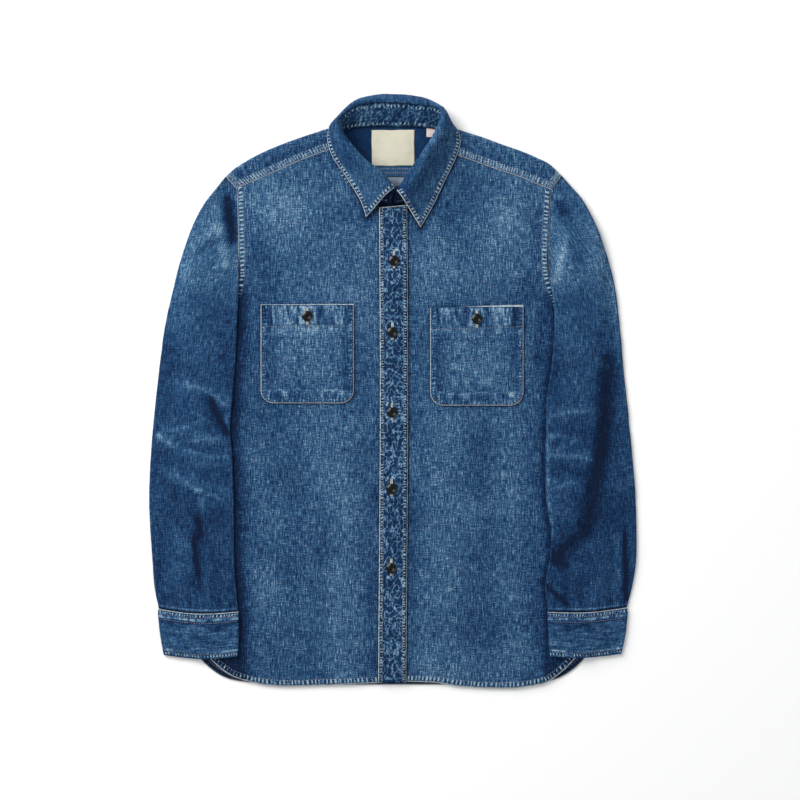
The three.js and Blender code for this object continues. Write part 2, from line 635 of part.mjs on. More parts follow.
function cuff(name, side) {
  const steps = 10;
  const open = 1.4;
  const outers = [];
  const inners = [];
  const outLine = side.cuff.map((row) => ({ x: row.outX, y: row.outY }));
  const inLine = side.cuff.map((row) => ({ x: row.inX, y: row.inY }));
  side.cuff.forEach((row, k) => {
    const sign = Math.sign(row.outX);
    const outDirection = awayFrom(outLine, k, sign);
    const inDirection = awayFrom(inLine, k, -sign);
    const radius = doubled + 0.6;
    const from = { x: row.outX - outDirection.x * radius, y: row.outY };
    const to = { x: row.inX - inDirection.x * radius, y: row.inY };
    const line = (a, b) => Array.from({ length: steps + 1 }, (_, i) => {
      const t = i / steps;
      return { x: mix(a.x, b.x, t), y: mix(a.y, b.y, t) - seamSag(side, t) };
    });
    const underside = line(to, from).map((p) => ({ ...p, z: supportTop(p.x, p.y) }));
    const topside = line(from, to).map((p, i) => {
      const arch = 0.5 + 0.5 * Math.sin((Math.PI * i) / steps);
      return { ...p, z: supportTop(p.x, p.y) + 2 * doubled + open * arch };
    });
    const ring = flatRing(topside, underside, outDirection, inDirection, doubled);
    outers.push(ring.outer);
    inners.push(ring.inner);
  });
  addPiece(name, shell(outers, inners, { around: true }), "denim");
}

// Pieces sewn on the fronts: their points are the front's, moved up
const placketEnds = { topY: [240, 243.5], bottomY: [-376.5, -376] };   // at the left and right edges
const placketWave = { reach: 1.2, turns: 4.2, rise: 0.15, length: 9 };

function placket() {
  const rows = 26;
  const columns = 4;
  const plan = Array.from({ length: rows + 1 }, (_, i) => {
    const v = i / rows;
    return Array.from({ length: columns + 1 }, (_, j) => {
      const u = j / columns;
      const topY = mix(...placketEnds.topY, u);
      const bottomY = mix(...placketEnds.bottomY, u);
      const sway = placketWave.reach * Math.sin(v * placketWave.turns);
      return { x: mix(placketLeft, placketRight, u) + sway, y: mix(topY, bottomY, v) };
    });
  });
  addPiece("placket", layer(plan, placketTop, doubled), "seam");
}

function placketTop(x, y) {
  const frontBelow = flatHeight + (1 - pressed.placket.share) * puffHeight;
  return frontBelow + seamGap + doubled + 0.25 + placketWave.rise * Math.sin(y / placketWave.length);
}

function pocket(spec) {
  const rows = 9;
  const columns = 8;
  const height = spec.topY - spec.bottomY;
  const cornerRows = 3;
  const topTilt = 1.4;
  const plan = Array.from({ length: rows + 1 }, (_, i) => {
    const intoCorner = Math.max(0, i - (rows - cornerRows)) / cornerRows;
    const angle = (intoCorner * Math.PI) / 2;
    const straight = Math.min(i, rows - cornerRows) / (rows - cornerRows);
    const y = spec.topY - (height - pocketCorner) * straight - pocketCorner * Math.sin(angle);
    const half = pocketWidth / 2 - pocketCorner * (1 - Math.cos(angle));
    return Array.from({ length: columns + 1 }, (_, j) => {
      const u = (2 * j) / columns - 1;
      return { x: spec.midX + half * u, y: y + spec.tilt * u * (1 - straight) * topTilt };
    });
  });
  const top = (x, y) => pocketTop(spec, x, y);
  const upper = plan.map((row) => row.map((p) => ({ ...p, z: top(p.x, p.y) })));
  const lower = plan.map((row) => row.map((p) => ({ ...p, z: frontTop(p.x, p.y) + patchLift })));
  addPiece(spec.name, shell(upper, lower), "denim");
}

function pocketTop(spec, x, y) {
  const bandEdge = 3;
  const band = ease((y - (spec.topY - pocketBand)) / bandEdge);
  return frontTop(x, y) + patchLift + cloth + bandLift * band;
}

// Buttons: a disc with a rolled rim, a dished face and a narrow sunk eye
function buttonGeometry() {
  const r = buttonRadius;
  const h = buttonHeight;
  const profile = [
    [0, 0], [r * 0.72, 0], [r * 0.97, h * 0.35], [r, h * 0.62], [r * 0.9, h], [r * 0.72, h * 0.92],
    [r * 0.5, h * 0.62], [0, h * 0.5],
  ];
  const lathe = new THREE.LatheGeometry(profile.map(([x, y]) => new THREE.Vector2(x, y)), 14);
  return lathe.rotateX(Math.PI / 2);
}

const buttonLift = seamGap + 0.1;

function buttons() {
  for (const place of buttonPlaces) {
    const mesh = addPiece(place.name, buttonGeometry(), "button");
    mesh.position.set(place.x, place.y, placketTop(place.x, place.y) + buttonLift);
  }
  for (const spec of pockets) {
    const mesh = addPiece(`${spec.name}_button`, buttonGeometry(), "button");
    const x = spec.midX;
    mesh.position.set(x, spec.buttonY, pocketTop(spec, x, spec.buttonY) + buttonLift);
  }
}

// Collar: the stand reaches nearly to the roll line, and the leaf starts just above it
const stand = { reach: 0.94, bulge: 1.2, lift: 0.9 };
const leaf = { start: 1.4, peakShare: 0.45, peakRise: 1.9, lowShare: 0.62, flatBelow: 2, flatShare: 0.3, flatZ: 1.6 };

function collarColumns(steps) {
  const line = (key) => alongTable(collar.map((row) => {
    return new THREE.Vector3(row[`${key}X`], row[`${key}Y`], row[`${key}Z`]);
  }), steps);
  return { base: line("base"), roll: line("roll"), crest: line("crest"), edge: line("edge") };
}

function alongTable(points, steps) {
  const curve = new THREE.CatmullRomCurve3(points, false, "centripetal");
  return Array.from({ length: steps + 1 }, (_, i) => curve.getPoint(i / steps));
}

// Moves a grid of points half a wall to each side along the surface's own normals
function walled(grid, thickness) {
  const normalAt = (i, j) => {
    const rows = grid.length - 1;
    const columns = grid[0].length - 1;
    const along = grid[Math.min(i + 1, rows)][j].clone().sub(grid[Math.max(i - 1, 0)][j]);
    const across = grid[i][Math.min(j + 1, columns)].clone().sub(grid[i][Math.max(j - 1, 0)]);
    return along.cross(across).normalize();
  };
  const moved = (amount) => grid.map((row, i) => row.map((p, j) => {
    return p.clone().addScaledVector(normalAt(i, j), amount);
  }));
  const onTable = (p) => p.setZ(Math.max(0, p.z));
  return [thickness / 2, -thickness / 2].map((amount) => moved(amount).map((row) => row.map(onTable)));
}

function collarStand() {
  const around = 28;
  const up = 3;
  const { base, roll } = collarColumns(around);
  const grid = Array.from({ length: up + 1 }, (_, i) => base.map((p, j) => {
    const t = i / up;
    const point = p.clone().lerp(roll[j], t * stand.reach);
    point.z += stand.bulge * Math.sin(Math.PI * t) + stand.lift * (1 - t);
    return point;
  }));
  addPiece("collar_stand", shell(...walled(grid, doubled)), "denim");
}

function collarLeaf() {
  const around = 32;
  const across = 7;
  const { roll, crest, edge } = collarColumns(around);
  const grid = Array.from({ length: across + 1 }, () => []);
  roll.forEach((start, j) => {
    const first = start.clone();
    first.z += leaf.start;
    const full = crest[j];
    const last = edge[j];
    const low = full.clone().lerp(last, 0.5);
    low.z = Math.max(last.z, mix(full.z, last.z, leaf.lowShare));
    if (last.z < leaf.flatBelow) {
      low.copy(full.clone().lerp(last, leaf.flatShare));
      low.z = leaf.flatZ;
    }
    const peak = start.clone().lerp(full, leaf.peakShare);
    peak.z = Math.max(start.z, full.z) + leaf.peakRise;
    const line = new THREE.CatmullRomCurve3([first, peak, full, low, last], false, "centripetal");
    line.getSpacedPoints(across).forEach((p, i) => grid[i].push(p));
  });
  addPiece("collar_leaf", shell(...walled(grid, doubled)), "denim");
}

function flatPatch(name, box, bottomZ, look) {
  const geometry = new THREE.BoxGeometry(box.maxX - box.minX, box.maxY - box.minY, box.thickness);
  const mesh = addPiece(name, geometry, look);
  mesh.position.set((box.minX + box.maxX) / 2, (box.minY + box.maxY) / 2, bottomZ + box.thickness / 2);
}

backPanel();
backYoke();
frontPanel("front_right", sides.right, overlapX);
frontPanel("front_left", sides.left, overlapX + centreGap);
placket();
pockets.forEach(pocket);
sleeve("sleeve_right", sides.right);
sleeve("sleeve_left", sides.left);
cuff("cuff_right", sides.right);
cuff("cuff_left", sides.left);
collarStand();
collarLeaf();
buttons();
flatPatch("neck_label", label, cloth + seamGap, "label");
flatPatch("care_tag", tag, cloth + seamGap, "label");

export default shirt;
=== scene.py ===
import bpy
import math
import numpy as np
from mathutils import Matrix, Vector


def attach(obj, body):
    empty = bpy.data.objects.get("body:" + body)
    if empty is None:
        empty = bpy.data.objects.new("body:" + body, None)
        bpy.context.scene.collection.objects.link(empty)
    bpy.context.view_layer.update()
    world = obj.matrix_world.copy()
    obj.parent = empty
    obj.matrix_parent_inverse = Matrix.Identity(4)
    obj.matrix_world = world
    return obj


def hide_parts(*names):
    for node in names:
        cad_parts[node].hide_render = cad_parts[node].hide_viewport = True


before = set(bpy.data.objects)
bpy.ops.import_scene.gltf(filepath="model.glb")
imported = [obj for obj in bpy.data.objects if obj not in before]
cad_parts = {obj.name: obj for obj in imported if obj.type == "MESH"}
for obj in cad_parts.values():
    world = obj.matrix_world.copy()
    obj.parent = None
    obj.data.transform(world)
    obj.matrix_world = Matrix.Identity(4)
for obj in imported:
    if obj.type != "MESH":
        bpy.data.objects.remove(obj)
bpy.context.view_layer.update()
scene = bpy.context.scene

# Sizes are millimetres on the shirt, turned into metres where a mesh is made.
cloth = 1.2            # one layer of denim
doubled = 1.8          # two pressed layers
layGap = 0.7           # between a sleeve and the front under it
sideX = 263.0          # half the body's width
flatHeight = 3.0       # top of the front where it is pressed
puffHeight = 1.4       # how much the open front stands above that
shoulderHeight = 5.6
sleeveRamp = 24.0      # width of the slope from the body down to the table
armholeGap = 0.45
besideBody = 0.9
patchLift = 0.5        # a pocket above the front it is sewn on
pressLift = 0.16       # mean rise of the puckers on a front
threadLift = 0.1       # stitches above their cloth
farAway = 60.0         # stands for no seam near by
rungPitch = 5.2        # between two puckers of a shrunken seam
rungSlant = 0.12       # how far they lean along the seam
noiseCells = 64
toMetres = 0.001


# Small measuring helpers

def mix(a, b, t):
    return a + (b - a) * t


def ease(t):
    t = np.clip(t, 0, 1)
    return t * t * (3 - 2 * t)


def bell(x, middle, width):
    return np.exp(-((x - middle) / width) ** 2)


def walked(points, axis=0):
    # distance from the start of a line, or from the first row or column of a grid
    steps = np.linalg.norm(np.diff(points, axis=axis), axis=-1)
    return np.insert(np.cumsum(steps, axis=axis), 0, 0, axis=axis)


def unit(ways):
    return ways / np.linalg.norm(ways, axis=-1)[..., None]


def resample(line, steps):
    # points at even steps of length along a line
    line = np.asarray(line, float)
    lengths = walked(line)
    at = np.linspace(0, 1, steps + 1) * lengths[-1]
    return np.stack([np.interp(at, lengths, line[:, k]) for k in range(line.shape[1])], axis=1)


def curveSpans(points, perSpan=24):
    # a smooth line through points, with the same number of steps in every span
    p = np.asarray(points, float)
    ends = np.vstack([2 * p[0] - p[1], p, 2 * p[-1] - p[-2]])
    out = []
    for i in range(len(p) - 1):
        a, b, c, d = ends[i:i + 4]
        before, here, after = (max(float(np.sum(v ** 2)) ** 0.25, 1e-4) for v in (b - a, c - b, d - c))
        start = ((b - a) / before - (c - a) / (before + here) + (c - b) / here) * here
        finish = ((c - b) / here - (d - b) / (here + after) + (d - c) / after) * here
        t = (np.arange(perSpan) / perSpan)[:, None]
        out.append(b + start * t + (3 * (c - b) - 2 * start - finish) * t ** 2
                   + (2 * (b - c) + start + finish) * t ** 3)
    return np.vstack(out + [p[-1:]])


def smoothLine(points, steps):
    return resample(curveSpans(points), steps)


def softNoise(x, y, size, seed):
    # smooth uneven field from -1 to 1, the same on every run
    rng = np.random.default_rng(seed)
    grid = rng.uniform(-1, 1, (noiseCells, noiseCells))
    u, v = np.asarray(x) / size, np.asarray(y) / size
    i, j = np.floor(u).astype(int), np.floor(v).astype(int)
    s, t = ease(u - i), ease(v - j)
    at = lambda a, b: grid[a % noiseCells, b % noiseCells]
    return mix(mix(at(i, j), at(i + 1, j), s), mix(at(i, j + 1), at(i + 1, j + 1), s), t)


def foldsAt(folds, x, y):
    # each fold is soft across, fades at its ends and wanders a little along its length
    total = np.zeros(np.broadcast(x, y).shape)
    for n, (x1, y1, x2, y2, width, rise) in enumerate(folds):
        dx, dy = x2 - x1, y2 - y1
        length = math.hypot(dx, dy)
        along = ((x - x1) * dx + (y - y1) * dy) / length
        across = ((x - x1) * dy - (y - y1) * dx) / length
        wander = width * 0.28 * softNoise(along, along * 0 + 9 * n, max(width * 2.6, 9), 40 + n)
        past = np.maximum(np.maximum(-along, along - length), 0)
        total += rise * np.exp(-((across + wander) / width) ** 2 - (past / (width * 1.6)) ** 2)
    return total


# The two sides of the shirt: seams and outlines in plan, from the shoulder down

rightSide = dict(
    sign=-1,
    armhole=[(-216, 281), (-210, 273), (-203, 265), (-201.5, 250), (-200.5, 211), (-200, 178),
             (-200, 148), (-207, 121), (-219, 94), (-238, 72), (-262, 62)],
    shoulder=[(-216, 281), (-206, 290), (-189, 301), (-166, 313), (-142, 323), (-120, 331), (-97, 338.6),
              (-86, 342.2), (-76, 344)],
    yokeFront=[(-203, 265), (-181, 274), (-158, 284), (-120, 301), (-90, 312.5), (-68, 320)],
    neckFront=[(-68, 320), (-66, 304), (-59, 285), (-46, 268), (-30, 253), (-16, 243)],
    hemFront=[(-263, -315), (-251, -332), (-234, -349), (-211, -367), (-184, -376), (-151, -381), (-84, -380),
              (-36, -378), (0, -375)],
    hemBack=[(-263, -319), (-251, -344), (-235, -360), (-216, -371), (-187, -376.5), (-120, -379.5),
             (0, -379.5)],
    # outer edge, inner edge, how far it stands open
    sleeve=[(-216, 281, -200, 148, 1.2), (-246, 240, -200, 112, 2.2), (-268, 189, -202, 72, 2.8),
            (-284, 136, -204, 32, 2.8), (-295, 88, -206, 8, 2.6), (-302, 42, -208.5, -22, 2.2),
            (-308, -12, -210, -49, 2.0), (-313, -68, -207.5, -81, 2.2), (-316, -127, -206, -125, 2.5),
            (-315, -166, -205, -164, 2.5), (-312, -217, -205, -215, 2.4), (-309, -254, -202, -256, 2.2),
            (-304, -281, -199, -283.5, 1.8)],
    cuff=[(-304.6, -281.6, -199, -284.2), (-305, -288, -199, -290), (-303, -309, -198.5, -312),
          (-300.5, -325, -199.5, -328), (-297.5, -341, -200.5, -342.5)],
    cuffSag=4,
    shadeWidth=11.0,
    shadeDepth=4.4,
)
leftSide = dict(
    sign=1,
    armhole=[(219, 282), (212, 271), (206.5, 263), (205, 246), (203, 211), (202, 185),
             (204, 150), (213.5, 123), (223, 95), (241, 71), (262, 60)],
    shoulder=[(219, 282), (203, 297), (187, 305), (171, 312), (140, 323), (120, 330.5), (100, 336.8),
              (86, 341.2), (73, 343.5)],
    yokeFront=[(206.5, 263), (186, 271), (168, 279), (140, 288), (101, 302), (68, 314)],
    neckFront=[(68, 314), (66, 301), (59, 284), (46, 268), (30, 253), (16, 243)],
    hemFront=[(263, -315), (250, -332), (236, -347), (221, -362), (201, -376), (181, -381), (156, -384),
              (123, -384), (82, -381), (57, -377), (0, -375)],
    hemBack=[(263, -321), (249, -346), (233, -361), (211, -373), (166, -379.5), (62, -379.5), (0, -379.5)],
    sleeve=[(219, 282, 204, 150, 1.2), (246, 249, 208.5, 118, 2.2), (270, 198, 210, 86, 2.6),
            (287, 145, 208, 56, 2.8), (294, 95, 205, 28, 2.8), (299, 42, 200.5, 0, 2.6),
            (306, -24, 199, -32, 2.2), (312, -90, 197.5, -88, 2.2), (316, -140, 199, -139, 2.4),
            (317, -185, 204.5, -180, 2.4), (316, -223, 204, -214, 2.3), (311, -255, 197.5, -246, 2.0),
            (305, -279, 201, -284, 1.8)],
    cuff=[(305.4, -279.6, 201, -284.6), (306, -286, 201, -290), (304, -308, 201.5, -312),
          (301.5, -323, 202.5, -328), (297.5, -339.5, 204.5, -342.5)],
    cuffSag=3,
    shadeWidth=6.0,
    shadeDepth=2.9,
)
backNeck = [(-76, 344), (-62, 345.2), (-32, 346.8), (0, 348), (32, 346.8), (59, 345.2), (73, 343.5)]
backSeam = [(-201.5, 250), (-120, 268), (0, 280), (120, 268), (205, 246)]

# Collar sections from the right front end round the neck: base, roll, crest and edge, each x, y, z
collarTable = np.array([
    (-1.6, 245.5, 6.4, 3, 265, 19.5, -11, 253, 16.5, -34.1, 227.4, 6.1),
    (-24, 251, 5.6, -11, 284, 22, -21, 269, 20.5, -40.8, 247, 6.1),
    (-47, 270, 5.4, -34, 301, 23.5, -45, 289, 22, -60.3, 280, 6.4),
    (-64, 297, 5.8, -54.5, 324, 25, -64, 314, 22, -77.8, 306, 6.9),
    (-69, 317, 6.4, -64.5, 339, 25.5, -73.5, 332.5, 20, -84, 326, 7.4),
    (-71.5, 329, 6.8, -69, 350, 25.5, -79, 345, 18, -83.6, 338.5, 7.8),
    (-69, 338.5, 3.4, -63.2, 359.8, 23.5, -71.8, 356, 13, -76, 350, 7),
    (-52, 343.6, 2, -46.5, 370, 20.5, -48.5, 377.6, 10, -53, 354, 0.9),
    (-21, 346, 1.8, -19, 375, 18.5, -19.5, 385, 9.5, -25, 356, 0.9),
    (11, 346, 1.8, 11, 375, 17.5, 11, 385.6, 9.5, 6, 356.5, 0.9),
    (40, 344.5, 1.8, 38, 371.7, 18.5, 39, 381.5, 9.5, 36, 355, 0.9),
    (61, 341, 2.4, 61.5, 366, 22.5, 65, 368.2, 12, 60, 353, 2.4),
    (68.5, 334, 5.6, 61.5, 355.5, 25, 75, 352.6, 16.5, 77.5, 347.5, 7.6),
    (69, 322, 6.6, 56.5, 342, 25.5, 77.5, 341, 17.5, 86, 336.5, 7.8),
    (66, 301, 5.9, 48, 325.5, 25, 71.5, 327, 17, 88, 323, 7.2),
    (55, 280, 5.4, 35.5, 307.5, 24.5, 59.5, 306.5, 16, 82, 304, 6.5),
    (39, 261, 5.2, 23, 289, 23, 45.5, 278, 14.5, 68.5, 276, 6.2),
    (18, 248, 5.6, 12.5, 273, 21, 32.5, 256, 15, 52.5, 242, 6.1),
    (1.6, 245.5, 6.4, 6, 261.5, 19.5, 19.5, 241, 15, 36.5, 214, 6.1),
], float)
collar = dict(spans=16, standRows=18, leafRows=36, standStitch=3.0, leafStitch=6.2, standReach=0.955,
              leafStart=0.975)

# Folds: start, end, half width, rise; a trough has a negative rise
bodyFolds = [
    (-150, 250, -90, 150, 34, 0.7), (150, 250, 96, 150, 34, 0.7), (-192, 225, -150, 128, 12, -0.8),
    (194, 225, 176, 128, 12, -0.8), (197, 113, 189, 36, 7, -1.0), (178, 100, 172, 20, 10, 0.6),
    (-196, -24, -160, -33, 6, -0.9), (-26, -130, -28, -360, 8, -0.9), (-60, -60, -64, -350, 18, 0.7),
    (26, -130, 27, -330, 7, -0.8), (64, -40, 60, -340, 20, 0.7), (-120, -90, -140, -340, 16, -0.7),
    (-165, -120, -172, -340, 14, 0.6), (118, -60, 130, -320, 15, -0.7), (158, -140, 166, -350, 13, 0.6),
]


def pressedUnder(x, y):
    # how far the front is pressed flat by a sleeve, and by the placket
    return ease((np.abs(x) - 186) / 40) * ease((165 - y) / 50), 1 - ease((np.abs(x) - 20) / 34)


def frontTop(x, y):
    underSleeve, nearPlacket = pressedUnder(x, y)
    nearHem = ease((-300 - y) / 70)
    puff = puffHeight * (1 - underSleeve) * (1 - 0.7 * nearHem) * (1 - 0.75 * nearPlacket)
    folds = foldsAt(bodyFolds, x, y) * (1 - underSleeve) * (1 - nearPlacket)
    return np.maximum(flatHeight, flatHeight + puff + folds)


def outsideBody(x, y):
    tails = [sorted(side["hemBack"]) for side in (rightSide, leftSide)]
    line = np.array(tails[0] + tails[1][1:], float)
    tail = np.interp(x, line[:, 0], line[:, 1])
    return np.maximum(0, np.maximum(np.abs(x) - sideX, tail - y))


def supportTop(x, y):
    inside = np.clip(x, -sideX, sideX)
    return (frontTop(inside, y) + layGap) * (1 - ease((outsideBody(x, y) - 0.5) / sleeveRamp))


# Cloth surfaces with their creases

frontFolds = bodyFolds + [
    (-205, 100, -176, 20, 9, -0.5), (-66, 232, -92, 196, 15, -0.5), (70, 232, 96, 186, 15, -0.5),
    (-52, 206, -46, 130, 13, 0.5), (52, 206, 47, 138, 13, 0.45), (-196, -60, -170, -92, 11, 0.5),
    (190, -30, 160, -66, 11, 0.5), (-186, -230, -150, -262, 16, 0.4), (-90, -210, -96, -330, 9, -0.5),
    (96, -180, 104, -330, 10, -0.45), (40, -236, 44, -350, 9, 0.4), (-44, -250, -46, -352, 9, 0.4),
    (140, 236, 178, 214, 16, 0.4), (-140, 240, -176, 204, 16, 0.4),
]


def crumple(x, y, seed):
    # uneven hand of washed cloth: broad swells, then smaller dents
    broad = softNoise(x + 0.35 * y, y - 0.2 * x, 46, seed)
    small = softNoise(x - 0.3 * y, 1.4 * y + 0.2 * x, 17, seed + 1)
    fine = softNoise(x, y, 7.5, seed + 2)
    return 0.34 * broad + 0.17 * small + 0.07 * fine


def frontSurface(x, y):
    underSleeve, nearPlacket = pressedUnder(x, y)
    folds = foldsAt(frontFolds, x, y) - foldsAt(bodyFolds, x, y)
    extra = (folds + crumple(x, y, 3)) * (1 - underSleeve) * (1 - nearPlacket)
    return np.maximum(flatHeight, frontTop(x, y) + extra)


def rungWave(along, across, pitch=rungPitch):
    # ridges that a shrunken seam pulls into the cloth beside its stitches
    return np.sin(2 * np.pi * (along + rungSlant * across) / pitch)


def unevenAlong(along, seed):
    broad, small = (softNoise(along, along * 0 + row, size, seed) for row, size in ((3, 13), (8, 5)))
    return along + 2.1 * broad + 0.8 * small


def nearLine(points, line):
    # distance from points to a line in plan, and how far along it the nearest place is
    flat = points.reshape(-1, points.shape[-1])[:, :2]
    line = np.asarray(line, float)[:, :2]
    best, along = np.full(len(flat), 1e9), np.zeros(len(flat))
    start = 0.0
    for a, b in zip(line[:-1], line[1:]):
        step = b - a
        length = float(np.linalg.norm(step))
        if length < 1e-9:
            continue
        t = np.clip((flat - a) @ step / length ** 2, 0, 1)
        away = np.linalg.norm(flat - a - t[:, None] * step, axis=1)
        closer = away < best
        best[closer] = away[closer]
        along[closer] = (start + t * length)[closer]
        start += length
    shape = points.shape[:-1]
    return best.reshape(shape), along.reshape(shape)


def seamField(points, lines, seed):
    # nearest stitched edge of several, as distance and uneven distance along
    best, along = np.full(points.shape[:-1], farAway), np.zeros(points.shape[:-1])
    for n, line in enumerate(lines):
        away, place = nearLine(points, line)
        closer = away < best
        best[closer] = away[closer]
        along[closer] = (unevenAlong(place, seed + n) + 37.0 * n)[closer]
    return best, along


def addObject(name, data):
    made = bpy.data.objects.new(name, data)
    scene.collection.objects.link(made)
    return made


def shellMesh(name, outer, inner, around=False, keep=None, fields=None, materials=()):
    # closed piece of cloth from an outer and an inner grid of points, in millimetres
    rows, columns = outer.shape[:2]
    cells = columns if around else columns - 1
    present = np.ones((rows - 1, cells), bool) if keep is None else keep
    i, j = np.nonzero(present)
    after = (j + 1) % columns
    count = rows * columns
    at = lambda layer, r, c: layer * count + r * columns + c
    quads = [np.stack([at(0, i, j), at(0, i + 1, j), at(0, i + 1, after), at(0, i, after)], 1),
             np.stack([at(1, i, j), at(1, i, after), at(1, i + 1, after), at(1, i + 1, j)], 1)]
    kinds = [np.zeros(len(i), int), np.ones(len(i), int)]
    padded = np.zeros((rows + 1, cells + 2), bool)
    padded[1:-1, 1:-1] = present
    if around:
        padded[1:-1, 0], padded[1:-1, -1] = present[:, -1], present[:, 0]
    sides = [(-1, 0, (0, 0), (0, 1)), (1, 0, (1, 1), (1, 0)), (0, -1, (1, 0), (0, 0)), (0, 1, (0, 1), (1, 1))]
    for di, dj, first, second in sides:
        free = ~padded[i + 1 + di, j + 1 + dj]
        r, c = i[free], j[free]
        a = (r + first[0], (c + first[1]) % columns)
        b = (r + second[0], (c + second[1]) % columns)
        quads.append(np.stack([at(0, *a), at(0, *b), at(1, *b), at(1, *a)], 1))
        kinds.append(np.zeros(len(r), int))
    points = np.concatenate([outer.reshape(-1, 3), inner.reshape(-1, 3)])
    faces, kinds = np.concatenate(quads), np.concatenate(kinds)
    used = np.unique(faces)
    renumber = np.zeros(len(points), int)
    renumber[used] = np.arange(len(used))
    points, faces = points[used] * toMetres, renumber[faces]
    a, b, c, d = (points[faces[:, k]] for k in range(4))
    if float(np.sum(a * np.cross(b, c)) + np.sum(a * np.cross(c, d))) < 0:
        faces = faces[:, ::-1]
    mesh = bpy.data.meshes.new(name)
    mesh.vertices.add(len(points))
    mesh.vertices.foreach_set("co", points.ravel())
    mesh.loops.add(faces.size)
    mesh.loops.foreach_set("vertex_index", faces.ravel())
    mesh.polygons.add(len(faces))
    mesh.polygons.foreach_set("loop_start", np.arange(0, faces.size, 4))
    mesh.polygons.foreach_set("material_index", kinds)
    mesh.polygons.foreach_set("use_smooth", np.ones(len(faces), bool))
    for field, values in (fields or {}).items():
        values = values.reshape(count, 3)
        values = np.concatenate([values, values])[used]
        mesh.attributes.new(field, "FLOAT_VECTOR", "POINT").data.foreach_set("vector", values.ravel())
    mesh.update(calc_edges=True)
    mesh.validate()
    for material in materials:
        mesh.materials.append(material)
    return addObject(name, mesh)


def clothFields(x, y, fold, seam, along, edge):
    # what the denim materials read: grain and seam distances in mm, and fading on folds together with painted
    # shade
    return dict(grain=np.stack([x, y, fold], -1), seam=np.stack([seam, along, edge], -1))


def panelPlan(top, bottom, left, right):
    # flat panel between four edges, whose rows follow the left edge
    columns = len(top)
    u = np.linspace(0, 1, columns)[None, :, None]
    v = ((left[0, 1] - left[:, 1]) / (left[0, 1] - left[-1, 1]))[:, None, None]
    ends = mix(mix(top[0], top[-1], u), mix(bottom[0], bottom[-1], u), v)
    return mix(top[None], bottom[None], v) + mix(left[:, None], right[:, None], u) - ends


def offsetLine(line, distance):
    # a line moved sideways in plan, to the left of its direction when distance is positive
    line = np.asarray(line, float)
    step = unit(np.gradient(line, axis=0))
    return line + distance * np.stack([-step[:, 1], step[:, 0]], 1)


stitchRows = dict(body=[], sleeves=[], collar=[])


def addRow(group, row, lift=threadLift):
    stitchRows[group].append(row + np.array([0, 0, lift]))


def stitchOn(group, line, heightAt, lift=threadLift):
    z = heightAt(line[:, 0], line[:, 1])
    stitchRows[group].append(np.column_stack([line[:, :2], z + lift]))


# Denim and the other finishes

denimRamp = [(0.0, (0.0020, 0.0085, 0.031)), (0.28, (0.0054, 0.033, 0.102)), (0.5, (0.0180, 0.068, 0.155)),
             (0.72, (0.062, 0.158, 0.282)), (1.0, (0.30, 0.42, 0.50))]
threadPitch = 0.95      # twill lines seen close up, in millimetres


def newGroup(name, inputs, outputs):
    group = bpy.data.node_groups.new(name, "ShaderNodeTree")
    kinds = dict(value="NodeSocketFloat", vector="NodeSocketVector", colour="NodeSocketColor")
    for label, kind, default in inputs:
        socket = group.interface.new_socket(label, in_out="INPUT", socket_type=kinds[kind])
        if default is not None:
            socket.default_value = default
    for label, kind in outputs:
        group.interface.new_socket(label, in_out="OUTPUT", socket_type=kinds[kind])
    return group, group.nodes.new("NodeGroupInput").outputs, group.nodes.new("NodeGroupOutput").inputs


def feed(tree, node, inputs):
    # each input is joined to another node's socket or set to a value
    for key, value in inputs.items():
        if isinstance(value, bpy.types.NodeSocket):
            tree.links.new(value, node.inputs[key])
        else:
            node.inputs[key].default_value = value


def addNode(tree, kind, inputs=(), **settings):
    node = tree.nodes.new(kind)
    for key, value in settings.items():
        setattr(node, key, value)
    feed(tree, node, dict(inputs))
    return node


def mathNode(tree, operation, *values, clamp=False):
    settings = dict(operation=operation, use_clamp=clamp)
    return addNode(tree, "ShaderNodeMath", dict(enumerate(values)), **settings).outputs[0]


def stepBetween(tree, value, low, high):
    # 0 at low, 1 at high, smooth between
    limits = {"Value": value, "From Min": low, "From Max": high}
    return addNode(tree, "ShaderNodeMapRange", limits, interpolation_type="SMOOTHSTEP").outputs["Result"]


def noiseAt(tree, vector, stretch, detail=2.0, rough=0.5, shift=0.0):
    # noise whose size in millimetres along x and y is 1 / stretch
    place = addNode(tree, "ShaderNodeMapping", {"Vector": vector, "Scale": (*stretch, 0.0),
                                                "Location": (shift, shift * 0.7, 0)})
    settings = {"Vector": place.outputs[0], "Scale": 1.0, "Detail": detail, "Roughness": rough}
    return addNode(tree, "ShaderNodeTexNoise", settings, noise_dimensions="2D").outputs[0]


def centred(tree, value, amount):
    return mathNode(tree, "MULTIPLY", mathNode(tree, "SUBTRACT", value, 0.5), amount)


def rampNode(tree, value, stops):
    node = addNode(tree, "ShaderNodeValToRGB", {0: value})
    elements = node.color_ramp.elements
    while len(elements) < len(stops):
        elements.new(0.5)
    for element, (place, colour) in zip(elements, stops):
        element.position = place
        element.color = (*colour, 1)
    return node.outputs[0]


def mixColours(tree, share, first, second):
    return addNode(tree, "ShaderNodeMix", {"Factor": share, 6: first, 7: second}, data_type="RGBA").outputs[2]


